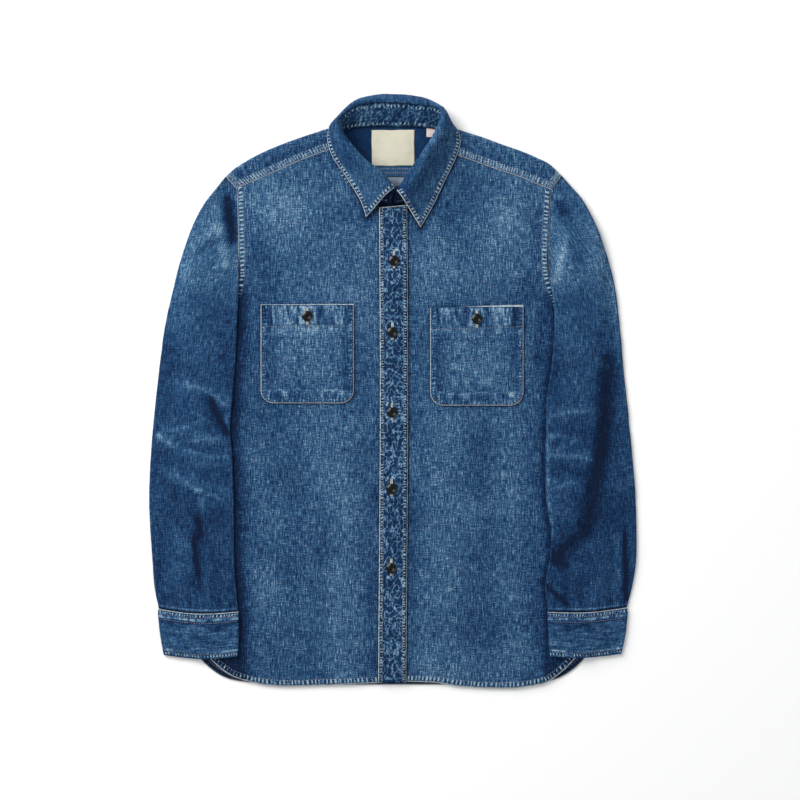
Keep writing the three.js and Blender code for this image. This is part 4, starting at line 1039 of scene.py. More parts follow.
rightSide["sleeveFolds"] = [
    (-217, 262, -212, 222, 7, -1.5), (-213, 208, -248, 180, 8, -1.1), (-238, 226, -262, 158, 16, 0.9),
    (-239, 0, -220, -51, 7, -1.0), (-270, 12, -210, -10, 8, 0.8), (-291, -50, -222, -64, 8, 0.9),
    (-300, -68, -250, -92, 7, 0.8), (-284, -106, -214, -132, 8, 1.0), (-254, -160, -249, -188, 6, -1.1),
    (-257, -186, -249, -250, 7, -1.2), (-303, -217, -301, -278, 4, -0.9),
]
leftSide["sleeveFolds"] = [
    (224, 197, 210, 148, 8, 1.2), (226, 232, 243, 172, 9, -1.1), (264, 206, 272, 120, 16, 0.8),
    (278, 22, 272, -76, 11, -1.3), (270, -86, 254, -172, 11, -1.4), (252, -182, 212, -210, 9, -1.2),
    (204, -24, 262, -24, 8, 0.9), (206, -80, 262, -84, 8, 0.9), (206, -116, 236, -122, 6, 0.8),
    (302, -180, 304, -272, 5, -1.0),
]
# shallower creases that only the cloth's surface has
rightSide["creases"] = [
    (-236, 200, -212, 214, 6, 0.6), (-262, 120, -220, 96, 12, -0.7), (-228, 62, -262, 40, 10, 0.6),
    (-214, 60, -212, 10, 8, -0.6), (-288, 60, -262, 26, 9, -0.6), (-212, -20, -250, -34, 5, -0.7),
    (-226, -84, -262, -76, 6, -0.6), (-298, -110, -262, -118, 6, 0.5), (-214, -96, -240, -104, 5, -0.6),
    (-240, -140, -212, -150, 6, 0.6), (-290, -160, -268, -168, 7, -0.5), (-228, -180, -214, -214, 7, 0.6),
    (-272, -196, -276, -250, 9, 0.6), (-228, -226, -226, -272, 7, -0.6), (-288, -236, -290, -276, 5, 0.6),
    (-240, -236, -240, -276, 5, 0.5), (-214, -240, -215, -276, 5, 0.4), (-262, -256, -263, -280, 4, -0.6),
]
leftSide["creases"] = [
    (232, 206, 214, 214, 6, 0.5), (222, 110, 262, 128, 12, -0.7), (228, 66, 262, 44, 10, 0.6),
    (212, 60, 210, 8, 8, -0.6), (290, 60, 264, 30, 9, 0.6), (208, -50, 250, -54, 6, -0.7),
    (262, -40, 300, -28, 8, 0.5), (208, -100, 250, -104, 6, -0.6), (240, -132, 300, -118, 8, 0.5),
    (208, -150, 240, -160, 7, 0.6), (280, -160, 304, -150, 7, -0.5), (226, -196, 246, -236, 8, 0.6),
    (272, -196, 276, -262, 9, 0.6), (222, -226, 224, -272, 7, -0.6), (288, -226, 290, -274, 5, 0.5),
    (246, -240, 247, -278, 5, -0.6), (262, -250, 262, -278, 4, 0.5), (212, -246, 213, -276, 5, 0.4),
]
# worn lines, and folds with painted shade, that show on the sleeves: half width, brightness (below zero for
# painted shade), points
rightSide["wear"] = [
    (2.2, 1.6, (-277, 12), (-245, 4.5), (-209, -21)), (2.0, 1.5, (-265, -23.5), (-243, -33)),
    (1.8, 1.4, (-295, -51), (-265, -43.5), (-241, -33)),
    (4.5, 2.3, (-310, -51), (-296, -61), (-274.5, -73)),
    (2.6, 2.2, (-274.5, -73), (-235, -83), (-211, -83)), (1.7, 1.6, (-269, -63), (-222, -59)),
    (2.0, 1.4, (-306, -96), (-284, -99), (-274.5, -114.5)),
    (3.0, 2.6, (-274.5, -114.5), (-258, -124.5), (-245, -128.5)),
    (2.0, 1.4, (-245, -128.5), (-215, -141.5)), (1.8, 1.2, (-235, -91), (-211, -98)),
    (3.5, 1.6, (-221, -42), (-212, -38)), (7.0, -2.6, (-216, 258), (-212, 232), (-206, 190)),
    (8.0, 1.3, (-226, 225), (-222, 190), (-214, 160)),
    (4.0, -2.4, (-237, -3), (-227.5, -27.5), (-211, -59)),
    (4.0, 1.0, (-229, -2), (-219, -27.5), (-205, -52)),
    (2.6, -3.0, (-253, -160), (-249, -182), (-258, -193), (-252, -240)),
    (4.0, 1.2, (-246, -130), (-250, -160)), (4.0, 0.9, (-260, -160), (-264, -195), (-259, -240)),
    (2.0, 1.0, (-304, -240), (-302, -277)),
]
leftSide["wear"] = [
    (2.4, 1.5, (199, -31.5), (231, -25), (257, -25)), (4.0, 1.5, (211, -79), (223, -69), (248, -53)),
    (2.2, 1.6, (201, -81), (240.5, -83.5), (265, -89)), (2.2, 1.3, (248, -82), (261, -70)),
    (2.4, 1.4, (203, -126.5), (221, -121), (237, -113)), (5.0, 0.9, (200, -60), (225, -52)),
    (13.0, -1.25, (280, 60), (278, 16), (270, -83), (257, -142), (240, -182), (212, -228)),
    (2.4, -3.2, (301.5, -178), (303.5, -272)), (3.0, -1.5, (195, -246), (231, -279)),
    (4.0, 0.9, (293, -180), (295, -262)), (8.0, 0.6, (224, 190), (212, 140)),
    (7.0, -1.6, (215, 255), (222, 226)), (3.0, -2.0, (205, -203), (212, -226)),
    (9.0, 1.2, (290, 150), (300, 60), (308, -20)), (5.0, 1.3, (200, -30), (200, -130), (207, -190)),
]
sleeve = dict(rings=16, fanRings=5, finePerRing=17, topSteps=66, underSteps=15, arcSteps=7, seamSpans=6,
              narrowWear=5.0, wearSoftened=0.68, wearWidened=1.25)


def byIndex(line, t):
    # place t of the way through a list of points, by counting points
    place = np.clip(t, 0, 1) * (len(line) - 1)
    i = np.minimum(place.astype(int), len(line) - 2)
    return mix(line[i], line[i + 1], (place - i)[:, None])


def seamSag(side, t):
    return side["cuffSag"] * np.sin(np.pi * np.clip(t, 0, 1))


def flatRings(topPath, underPath, outWay, inWay, thickness, arcSteps):
    # joins the top and underside of every ring with round folds at both edges

    def roundFold(high, low, way, fromTop):
        radius = (high[..., 2] - low[..., 2])[:, None] / 2
        angle = (math.pi / 2 - math.pi * np.arange(1, arcSteps) / arcSteps) * (1 if fromTop else -1)
        middle = (high + low) / 2

        def at(r):
            x = middle[:, None, 0] + way[:, None, 0] * r * np.cos(angle)
            y = middle[:, None, 1] + way[:, None, 1] * r * np.cos(angle)
            return np.dstack([x, y, middle[:, None, 2] + r * np.sin(angle)])

        return at(radius), at(np.maximum(radius - thickness, 0.1))

    inFold = roundFold(topPath[:, -1], underPath[:, 0], inWay, True)
    outFold = roundFold(topPath[:, 0], underPath[:, -1], outWay, False)
    up = np.array([0, 0, thickness])
    outer = np.concatenate([topPath, inFold[0], underPath, outFold[0]], axis=1)
    inner = np.concatenate([topPath - up, inFold[1], underPath + up, outFold[1]], axis=1)
    return outer, inner


def makeSleeve(name, side, seed):
    sign, rings = side["sign"], sleeve["rings"]
    table = np.asarray(side["sleeve"], float)
    s = np.linspace(0, rings, rings * sleeve["finePerRing"] + 1)
    smooth = rings * 8
    outAll, inAll = (smoothLine(table[:, k:k + 2], smooth) for k in (0, 2))
    lineAt = lambda line, ring: np.stack([np.interp(ring / rings * smooth, np.arange(smooth + 1), line[:, k])
                                          for k in (0, 1)], 1)
    seam = curveSpans(side["armhole"], armholeSteps) + np.array([sign * armholeGap, 0])
    onTop = seam[:sleeve["seamSpans"] * armholeSteps + 1]
    corners = np.asarray(side["armhole"], float)
    bodyEdge = sideX + besideBody
    overBody = np.vstack([corners[6:-1], [[sign * bodyEdge, corners[-1, 1]]]])
    shoulderPoint, backCorner = corners[0] + [sign * armholeGap, 0], corners[3] + [sign * armholeGap, 0]
    shoulderWay = unit(shoulderPoint - backCorner)
    onTable = (corners + [sign * armholeGap, 0])[::-1].copy()
    for i in (1, 2):
        onTable[-1 - i] = mix(shoulderPoint, backCorner, i / 3)
    onTable[0] = [sign * (sideX + 5.5), onTable[0, 1] - 1]

    def ringPlan(k):
        # plan of one ring as the solid has it: under the body side, on the table, and the top
        first = k < 1e-6
        out = onTop[0] if first else lineAt(outAll, np.array([k]))[0]
        inn = onTop[-1] if first else lineAt(inAll, np.array([k]))[0]

        def square(line, toSide):
            a, b = lineAt(line, np.clip(np.array([k - 1, k + 1]), 0, rings))
            step = unit(b - a)
            return np.array([-toSide * step[1], toSide * step[0]])

        outWay = shoulderWay if first else square(outAll, sign)
        inWay = square(inAll, -sign)
        edgeRadius = cloth + 0.5
        outInset = out - outWay * (shoulderHeight / 2 if first else edgeRadius)
        inInset = inn if first else inn - inWay * (edgeRadius + 0.4)
        bend = max(0, 1 - k / sleeve["fanRings"])
        chord = lambda x: mix(inn[1], out[1], (x - inn[0]) / (out[0] - inn[0]))
        below = lambda x: min(chord(x), 58 - 12 * min(k, 2))
        drop = np.array([sign * bodyEdge, below(sign * bodyEdge)])
        landingX = drop[0] + sign * min(sleeveRamp * k / 2, sleeveRamp)
        landing = np.array([landingX, below(landingX)])

        def fanned(start, end, shape, steps, startWithin=0.01):
            t = np.linspace(0, 1, steps + 1)
            held = byIndex(shape, t)
            if first:
                held[0], held[-1] = start, end
                return held
            extra = held - mix(shape[0], shape[-1], t[:, None])
            kept = bend * ease(t / startWithin)
            return mix(start, end, t[:, None]) + extra * kept[:, None]

        over = fanned(inInset, overBody[-1] if first else drop, overBody, sleeve["underSteps"])
        onFloor = fanned(onTable[0] if first else landing, outInset, onTable, sleeve["underSteps"], 0.35)
        top = fanned(outInset, inInset, onTop, sleeve["topSteps"])
        return top, over, onFloor, outWay, inWay

    firstRing, secondRing = ringPlan(0.0), ringPlan(1.0)
    parts = []
    for k in s:
        parts.append(ringPlan(k) if k >= 1 else
                     tuple(mix(a, b, k) for a, b in zip(firstRing, secondRing)))
    top, over, onFloor, outWay, inWay = (np.stack(part) for part in zip(*parts))
    share = ease((s - rings + 4) / 4)[:, None]
    low, high = top[:, -1:, 0], top[:, :1, 0]
    for path in (top, over, onFloor):
        path[..., 1] -= share * seamSag(side, (path[..., 0] - low) / (high - low))
    zOver = supportTop(over[..., 0], over[..., 1])
    zFloor = supportTop(onFloor[..., 0], onFloor[..., 1]) * np.clip(s / sleeve["fanRings"], 0, 1)[:, None]
    t = np.linspace(0, 1, sleeve["topSteps"] + 1)[None, :]
    x, y = top[..., 0], top[..., 1]
    openness = np.interp(s / rings * (len(table) - 1), np.arange(len(table)), table[:, 4])[:, None]
    arch = 0.45 + 0.55 * np.sin(np.pi * np.clip(t, 0, 1)) ** 0.7
    folds = 1.25 * foldsAt(side["sleeveFolds"], x, y) + foldsAt(side["creases"], x, y)
    # gathered at the cuff and full at the top of the armhole
    gather = ease((s - rings + 1.7) / 1.7)[:, None]
    pleats = 0.75 * gather * np.sin(x / 2.3 + 2.5 * softNoise(x, y * 0, 11, seed)) * (1 - gather * 0.35)
    hand = 1.7 * crumple(x, y, seed)
    gap = np.clip(openness * arch + folds + pleats + hand, 0.35, 5.2)
    support = supportTop(x, y)
    loose = support + 2 * cloth + gap
    sewn = mix(frontTop(x, y) - 0.35, loose, ease((t - 0.72) / 0.28))
    sewn = mix(shoulderHeight, sewn, ease(t * 10))
    z = mix(sewn, loose, ease(s / 2.5)[:, None])
    topPath = np.dstack([top, z])
    under = np.concatenate([np.dstack([over, zOver]), np.dstack([onFloor, zFloor])], axis=1)
    outer, inner = flatRings(topPath, under, outWay, inWay, cloth, sleeve["arcSteps"])
    # distances along the rings from the sleeve seam and from the cuff
    fromSeam = walked(outer)
    fromCuff = fromSeam[-1:] - fromSeam
    atSeam, atCuff = unevenAlong(walked(outer[0]), seed + 5), unevenAlong(walked(outer[-1]), seed + 6)
    along = np.where(fromSeam < fromCuff, atSeam, atCuff)
    lift = np.zeros(outer.shape[:2])
    topColumns = sleeve["topSteps"] + 1
    soft = 0.95 + 0.35 * softNoise(x, y, 9, seed + 40)
    lineStrength = np.zeros(x.shape)
    for width, bright, *line in side["wear"]:
        away, place = nearLine(top, line)
        ends = ease((place + 1) / 9) * ease((walked(line)[-1] - place + 1) / 9)
        if bright > 0 and width < sleeve["narrowWear"]:
            bright, width = bright * sleeve["wearSoftened"], width * sleeve["wearWidened"]
        # a line with a negative brightness is painted shade in a fold
        lineStrength = lineStrength + bright * soft * ends * bell(away, 0, width)
    lift[:, :topColumns] = folds + 0.5 * pleats + 0.8 * crumple(x, y, seed) + 1.8 * lineStrength
    # a dark join above the cuff, with a worn line over it
    toCuff = fromCuff[:, :topColumns]
    lift[:, :topColumns] += 3.4 * bell(toCuff, 3.8, 1.1) - 5.0 * bell(toCuff, 0, 1.3)
    far = np.full(lift.shape, farAway)
    # the yarns run down the sleeve's middle line; it is darker from the elbow down
    middle = (outAll + inAll)[::-1] / 2
    centre = np.interp(outer[..., 1], middle[:, 1], middle[:, 0])
    shade = 1.35 * ease((190 - outer[..., 1]) / 170) + 0.25 * ease((-60 - outer[..., 1]) / 120)
    lift = 0.8 * lift - shade
    fields = clothFields(outer[..., 0] - centre, outer[..., 1], lift, far, along, far)
    materials = (sleeveDenim, insideDenim)
    return shellMesh(name + "_denim", outer, inner, around=True, fields=fields, materials=materials)


def fromInner(grid):
    # distance round each ring from its first point, measured on a middle ring so the grain stays straight
    middle = grid[len(grid) // 2]
    return np.broadcast_to(walked(middle), grid.shape[:2])


# Cuffs

cuff = dict(open=1.4, topSteps=96, underSteps=30, rowsEach=16, topRows=(5.6, 12.4), hemRow=6.0)


def makeCuff(name, side, seed):
    sign = side["sign"]
    table = np.asarray(side["cuff"], float)
    count = len(table)
    fine = np.linspace(0, count - 1, (count - 1) * cuff["rowsEach"] + 1)
    rowAt = lambda k, place: np.interp(place, np.arange(count), table[:, k])
    out = np.column_stack([rowAt(0, fine), rowAt(1, fine)])
    inn = np.column_stack([rowAt(2, fine), rowAt(3, fine)])

    def ways(columns, toSide):
        line = table[:, columns]
        a = line[np.maximum(np.arange(count) - 1, 0)]
        b = line[np.minimum(np.arange(count) + 1, count - 1)]
        step = unit(b - a)
        square = np.column_stack([-toSide * step[:, 1], toSide * step[:, 0]])
        return np.column_stack([np.interp(fine, np.arange(count), square[:, k]) for k in (0, 1)])

    outWay, inWay = ways([0, 1], sign), ways([2, 3], -sign)
    radius = doubled + 0.6
    start = np.column_stack([out[:, 0] - outWay[:, 0] * radius, out[:, 1]])
    end = np.column_stack([inn[:, 0] - inWay[:, 0] * radius, inn[:, 1]])

    def line(a, b, steps):
        t = np.linspace(0, 1, steps + 1)
        plan = a[:, None] + (b - a)[:, None] * t[None, :, None]
        plan[..., 1] -= seamSag(side, t)[None]
        return plan

    under = line(end, start, cuff["underSteps"])
    under = np.dstack([under, supportTop(under[..., 0], under[..., 1])])
    top = line(start, end, cuff["topSteps"])
    t = np.linspace(0, 1, cuff["topSteps"] + 1)[None]
    x, y = top[..., 0], top[..., 1]
    fromTop = walked(top)
    fromEnd = fromTop[-1:] - fromTop
    alongTop, alongEnd = unevenAlong(x, seed), unevenAlong(x + 5, seed + 2)
    ends = ease(np.minimum(t, 1 - t) / 0.05)
    pull = rungWave(alongTop, fromTop) * bell(fromTop, 4, 8)
    pull = pull + rungWave(alongEnd, fromEnd) * bell(fromEnd, 2, 6)
    z = supportTop(x, y) + 2 * doubled + cuff["open"] * (0.5 + 0.5 * np.sin(np.pi * t))
    z = z + (0.28 * pull + 1.1 * crumple(x, y, seed + 3) + 0.15) * ends
    z = z - 0.45 * np.exp(-np.minimum(fromTop, fromEnd) / 0.9)
    topPath = np.dstack([top, z])
    outer, inner = flatRings(topPath, under, outWay, inWay, doubled, 8)
    fromTop = walked(outer)
    fromEnd = fromTop[-1:] - fromTop
    across = outer[..., 0]
    along = np.where(fromTop < fromEnd, unevenAlong(across, seed), unevenAlong(across + 5, seed + 2))
    nearest = np.minimum(fromTop, fromEnd)
    fold = np.zeros(nearest.shape)
    fold[:, :top.shape[1]] = 1.1 * crumple(x, y, seed + 3)
    # a second puffed row past the top stitches, with dark lines on both sides, and one worn line at the hem
    blobs = 0.7 + softNoise(across, fromTop * 0.4, 3.0, seed + 7)
    fold = fold + 3.4 * bell(fromTop, 8.6, 2.0) * blobs - 3.4 * bell(fromTop, 12.8, 1.4)
    fold = fold - 2.2 * bell(fromTop, 5.6, 0.9) - 3.4 * bell(fromEnd, 5.8, 1.0)
    hemBlobs = 0.8 + softNoise(across, fromEnd * 0.6, 6, seed + 8)
    fold = fold + 3.0 * bell(fromEnd, 8.4, 1.3) * hemBlobs
    # creases that run round the cuff, darkest under the top rows
    fold = fold + 1.3 * softNoise(across * 0.3, fromTop * 1.5, 3.2, seed + 9) * ease(nearest / 12)
    fold = fold - 1.5 * bell(fromTop, 18, 5) * (0.6 + softNoise(across, fromTop, 18, seed + 10))
    fields = clothFields(fromTop, fromInner(outer), fold, nearest, along, fromTop)
    materials = (seamDenim, insideDenim)
    piece = shellMesh(name + "_denim", outer, inner, around=True, fields=fields, materials=materials)
    onTop = slice(0, top.shape[1])
    insets = [(fromTop, inset) for inset in cuff["topRows"]] + [(fromEnd, cuff["hemRow"])]
    for field, inset in insets:
        addRow("sleeves", alongGrid(outer[:, onTop], field[:, onTop], inset)[2:-2], 0.12)
    return piece


for name, make, side, seed in [("sleeve_right", makeSleeve, rightSide, 201),
                               ("sleeve_left", makeSleeve, leftSide, 231),
                               ("cuff_right", makeCuff, rightSide, 261),
                               ("cuff_left", makeCuff, leftSide, 271)]:
    pieces[name] = make(name, side, seed)
print("sleeves and cuffs made")


# Collar: a stand round the neck and a leaf that turns down over it

def walled(grid, thickness):
    # half a wall to each side along the surface's own normals, never below the table
    normal = unit(np.cross(np.gradient(grid, axis=0), np.gradient(grid, axis=1)))
    both = [grid + normal * thickness / 2, grid - normal * thickness / 2]
    for side in both:
        side[..., 2] = np.maximum(side[..., 2], 0)
    return both, normal


def gridDistances(grid):
    down, across = walked(grid), walked(grid, 1)
    return down, down[-1:] - down, across, across[:, -1:] - across


def collarShell(name, grid, puckerAt, fold, edges, materials, flatGrain=False):
    down, up, fromStart, fromEnd = gridDistances(grid)
    seam = np.minimum.reduce([dict(start=fromStart, end=fromEnd, top=down, bottom=up)[key] for key in edges])
    both, normal = walled(grid, doubled)
    if both[0][..., 2].mean() < both[1][..., 2].mean():
        both, normal = both[::-1], -normal
    outline = np.vstack([grid[:, 0], grid[-1], grid[::-1, -1]])
    _, place = nearLine(grid, outline)
    along = np.where((down < up) & ("top" in edges), unevenAlong(fromStart + 7, puckerAt + 2),
                     unevenAlong(place, puckerAt))
    pull = rungWave(along, seam) * bell(seam, 4, 3.5)
    middle = ease(seam / 5)
    swell = 0.32 * pull * middle + 0.5 * np.maximum(fold, -1) * middle - 0.35 * np.exp(-seam / 0.8)
    outer = both[0] + normal * swell[..., None]
    inner = both[1] + normal * (0.2 * pull * middle)[..., None]
    for side in (outer, inner):
        side[..., 2] = np.maximum(side[..., 2], 0)
    grainX, grainY = (outer[..., 0], outer[..., 1]) if flatGrain else (fromStart, down)
    fields = clothFields(grainX, grainY, fold, seam, along, seam)
    return shellMesh(name, outer, inner, fields=fields, materials=materials), outer, normal


def collarLines():
    # the four lines of the collar at even shares of the table's rows
    return [curveSpans(collarTable[:, k:k + 3], collar["spans"]) for k in (0, 3, 6, 9)]


def makeStand():
    base, roll = collarLines()[:2]
    grid = []
    for i in range(collar["standRows"] + 1):
        t = i / collar["standRows"]
        line = mix(base, roll, t * collar["standReach"])
        line[:, 2] += 1.2 * math.sin(math.pi * t) + 0.9 * (1 - t)
        grid.append(line)
    grid = np.stack(grid)
    down, up, fromStart, fromEnd = gridDistances(grid)
    # the two front ends meet in the shade under the collar points
    toEnds = np.minimum(fromStart, fromEnd)
    shade = 1 - ease((toEnds - 26) / 30)
    fold = 1.2 * softNoise(fromStart, down * 0.7, 9, 301) * ease(toEnds / 12) - 6.5 * shade
    piece, outer, normal = collarShell("collar_stand_denim", grid, 303, fold,
                                       ("top", "bottom", "start", "end"), (standDenim, standDenim))
    for field in (down, up):
        row, out = (alongGrid(values, field, collar["standStitch"]) for values in (outer, normal))
        addRow("collar", (row + 0.12 * out)[6:-6], 0)
    return piece


def makeLeaf():
    base, roll, crest, edge = collarLines()
    rows = collar["leafRows"]
    grid = np.zeros((rows + 1, len(roll), 3))
    for j in range(len(roll)):
        first = mix(base[j], roll[j], collar["leafStart"]) + [0, 0, 0.9]
        full, last = crest[j], edge[j]
        low = mix(full, last, 0.5)
        low[2] = max(last[2], mix(full[2], last[2], 0.62))
        flatEnd = mix(full, last, 0.3)
        flatEnd[2] = 1.6
        low = mix(flatEnd, low, float(ease((last[2] - 1.5) / 1.0)))
        peak = mix(roll[j], full, 0.45)
        peak[2] = max(roll[j][2], full[2]) + 1.9
        grid[:, j] = smoothLine([first, peak, full, low, last], rows)
    down, up, fromStart, fromEnd = gridDistances(grid)
    fold = 1.1 * softNoise(fromStart, down * 1.2, 15, 311) * ease(np.minimum(fromStart, fromEnd) / 10)
    piece, outer, normal = collarShell("collar_leaf_denim", grid, 313, fold, ("bottom", "start", "end"),
                                       (collarDenim, collarDenim), flatGrain=True)
    inset = collar["leafStitch"]
    row, out = (alongGrid(values, up, inset) for values in (outer, normal))
    addRow("collar", (row + 0.15 * out)[int(inset) + 2:-int(inset) - 2], 0)
    for field in (fromStart, fromEnd):
        end = alongGrid(outer.transpose(1, 0, 2), field.T, inset)
        addRow("collar", end[4:-int(inset) - 1], 0.15)
    return piece


pieces["collar_stand"] = makeStand()
pieces["collar_leaf"] = makeLeaf()
print("collar made")


# Buttons: a rolled rim, a dished face and a narrow sunk eye with two holes

button = dict(radius=6.8, height=3.0, dish=0.45, rimWidth=3.3, bevel=2.5, bevelDrop=1.15, eyeLength=2.5,
              eyeWidth=0.95, eyeDepth=0.6, hole=0.62, holeApart=1.35, holeDepth=0.9, seat=0.4,
              rings=22, around=56,
              under=[(1.0, 0.62), (0.985, 0.42), (0.93, 0.22), (0.82, 0.08), (0.7, 0.0), (0.4, 0.0),
                     (0.02, 0.0)])


def makeButton(name, x0, y0, bottom, turn):
    rings, around = button["rings"], button["around"]
    angle = np.arange(around) * 2 * np.pi / around
    r = np.linspace(0.02, 1, rings + 1)[:, None] * button["radius"]
    a = angle[None, :]
    px, py = r * np.cos(a), r * np.sin(a)
    inside = button["radius"] - button["rimWidth"]
    face = button["height"] - button["dish"] * (1 - ease((r - inside + 0.6) / 0.9))
    # the rim slopes evenly outwards, so that it catches the light on one side
    past = r - button["radius"] + button["bevel"]
    edgeRound = button["bevelDrop"] * np.maximum(np.hypot(past, 0.25) + past, 0) / (2 * button["bevel"])
    across = px * math.cos(turn) + py * math.sin(turn)
    up = -px * math.sin(turn) + py * math.cos(turn)
    eye = np.exp(-((across / button["eyeLength"]) ** 4 + (up / button["eyeWidth"]) ** 4))
    holeAt = lambda side: ((across - side * button["holeApart"]) ** 2 + up ** 2) / button["hole"] ** 2
    holes = sum(np.exp(-holeAt(side) ** 2) for side in (-1, 1))
    z = face - edgeRound - button["eyeDepth"] * eye - button["holeDepth"] * holes
    top = np.dstack([x0 + px, y0 + py, bottom + z])
    under = np.stack([np.column_stack([x0 + s * button["radius"] * np.cos(angle),
                                       y0 + s * button["radius"] * np.sin(angle),
                                       np.full(around, bottom + share * button["height"])])
                      for s, share in button["under"]])
    grid = np.concatenate([top, under])
    verts = grid.reshape(-1, 3) * toMetres
    last = (len(grid) - 1) * around
    after = lambda j: (j + 1) % around
    faces = [(i + j, i + around + j, i + around + after(j), i + after(j))
             for i in range(0, last, around) for j in range(around)]
    # the middles of both sides are closed with a fan
    verts = np.vstack([verts, [verts[:around].mean(0), verts[-around:].mean(0)]])
    faces += [(len(verts) - 2, j, after(j)) for j in range(around)]
    faces += [(len(verts) - 1, last + after(j), last + j) for j in range(around)]
    mesh = bpy.data.meshes.new(name)
    mesh.from_pydata(verts.tolist(), [], faces)
    mesh.validate()
    mesh.shade_smooth()
    mesh.materials.append(buttonResin)
    return addObject(name + "_resin", mesh)


for n, (name, x, y) in enumerate(buttonPlaces):
    pieces[name] = makeButton(name, x, y, float(placketTop(y)) + button["seat"], 0.12 * math.sin(n * 2.1))
for spec in pockets:
    bottom = float(pocketTop(spec, np.array(spec["midX"]), np.array(spec["buttonY"])))
    bottom = bottom + button["seat"] - pressLift
    pieces[spec["name"] + "_button"] = makeButton(spec["name"] + "_button", spec["midX"], spec["buttonY"],
                                                  bottom, 0.1)
print("buttons made")


# Blank label and tag inside the neck

label = dict(minX=-27, maxX=28.5, minY=294.5, maxY=341, thickness=0.6)
tag = dict(minX=44, maxX=60, minY=332, maxY=344, thickness=0.5)


def flatPatch(name, box, material, seed):
    columns, rows = 56, 46
    u, v = np.linspace(0, 1, columns)[None, :], np.linspace(0, 1, rows)[:, None]
    x = mix(box["minX"], box["maxX"], u) + 0 * v + 0.35 * softNoise(v * 30, v * 0, 9, seed)
    y = mix(box["maxY"], box["minY"], v) + 0 * u + 0.3 * softNoise(u * 40, u * 0, 9, seed + 1)
    edge = np.minimum.reduce([x - box["minX"], box["maxX"] - x, y - box["minY"], box["maxY"] - y])
    lift = 0.45 * ease(edge / 9) * (1 + 0.8 * softNoise(x, y, 15, seed + 2))
    fromSides = np.maximum(np.minimum(x - box["minX"], box["maxX"] - x), 0)
    dents = np.maximum(softNoise(x * 0 + 4, y, 3.4, seed + 3) - 0.1, 0) * bell(fromSides, 3.4, 3.4)
    inEdge = np.maximum(edge, 0)
    ripple = 0.12 * np.sin(x * 1.9 + softNoise(x, y, 9, seed + 3) * 2) * np.exp(-inEdge / 2.5) - 2.0 * dents
    bottom = cloth + 0.3
    top = bottom + box["thickness"] + np.maximum(lift + ripple, -0.1) - 0.2 * np.exp(-inEdge / 0.5)
    points = np.dstack([x, y, top])
    under = np.dstack([x, y, np.full(x.shape, bottom)])
    return shellMesh(name, points, under, materials=(material, material))


pieces["neck_label"] = flatPatch("neck_label_tape", label, labelCloth, 401)
pieces["care_tag"] = flatPatch("care_tag_tape", tag, tagCloth, 411)


# Stitches: one small thread loop repeated along every row

stitch = dict(spacing=0.0031, length=0.0024, thickness=0.00062)
buttonhole = dict(spacing=0.00055, length=0.0018, thickness=0.00065, half=10.9, width=3.3, rise=1.4)


def makeStitchTree():
    tree = bpy.data.node_groups.new("threadAlongRows", "GeometryNodeTree")
    kinds = dict(Geometry="Geometry", Spacing="Float", Length="Float", Thickness="Float", Across="Float",
                 Unevenness="Float", Seed="Int", Thread="Material")
    for label, kind in kinds.items():
        tree.interface.new_socket(label, in_out="INPUT", socket_type="NodeSocket" + kind)
    tree.interface.new_socket("Geometry", in_out="OUTPUT", socket_type="NodeSocketGeometry")
    node = lambda kind, inputs=(), **settings: addNode(tree, kind, inputs, **settings).outputs
    get = node("NodeGroupInput")
    curve = node("GeometryNodeMeshToCurve", {0: get["Geometry"]})
    even = node("GeometryNodeResampleCurve", {"Curve": curve[0], "Length": get["Spacing"]}, mode="LENGTH")
    # each stitch points along its row, or across it
    tangent = node("GeometryNodeInputTangent")
    square = node("ShaderNodeVectorMath", {0: tangent[0], 1: (0, 0, 1)}, operation="CROSS_PRODUCT")
    way = node("ShaderNodeMix", {"Factor": get["Across"], 4: tangent[0], 5: square[0]}, data_type="VECTOR")
    turned = node("FunctionNodeAlignRotationToVector", {"Vector": way[1]}, axis="X")
    # no two are quite as long, or quite in line
    jitter = node("FunctionNodeRandomValue", {2: 0.86, 3: 1.12, "Seed": get["Seed"]}, data_type="FLOAT")
    longer = node("ShaderNodeMath", {0: get["Length"], 1: jitter[1]}, operation="MULTIPLY")
    size = node("ShaderNodeCombineXYZ", {0: longer[0], 1: get["Thickness"], 2: get["Thickness"]})
    drift = node("FunctionNodeRandomValue", {0: (-1, -1, 0), 1: (1, 1, 0), "Seed": get["Seed"]},
                 data_type="FLOAT_VECTOR")
    small = node("ShaderNodeVectorMath", {0: drift[0], "Scale": get["Unevenness"]}, operation="SCALE")
    moved = node("GeometryNodeSetPosition", {"Geometry": even[0], "Offset": small[0]})
    loop = node("GeometryNodeMeshIcoSphere", {"Radius": 0.5, "Subdivisions": 1})
    place = node("GeometryNodeInstanceOnPoints", {"Points": moved[0], "Instance": loop["Mesh"],
                                                  "Rotation": turned[0], "Scale": size[0]})
    real = node("GeometryNodeRealizeInstances", {0: place[0]})
    smooth = node("GeometryNodeSetShadeSmooth", {0: real[0]})
    finish = node("GeometryNodeSetMaterial", {"Geometry": smooth[0], "Material": get["Thread"]})
    addNode(tree, "NodeGroupOutput", {0: finish[0]})
    return tree


stitchTree = makeStitchTree()


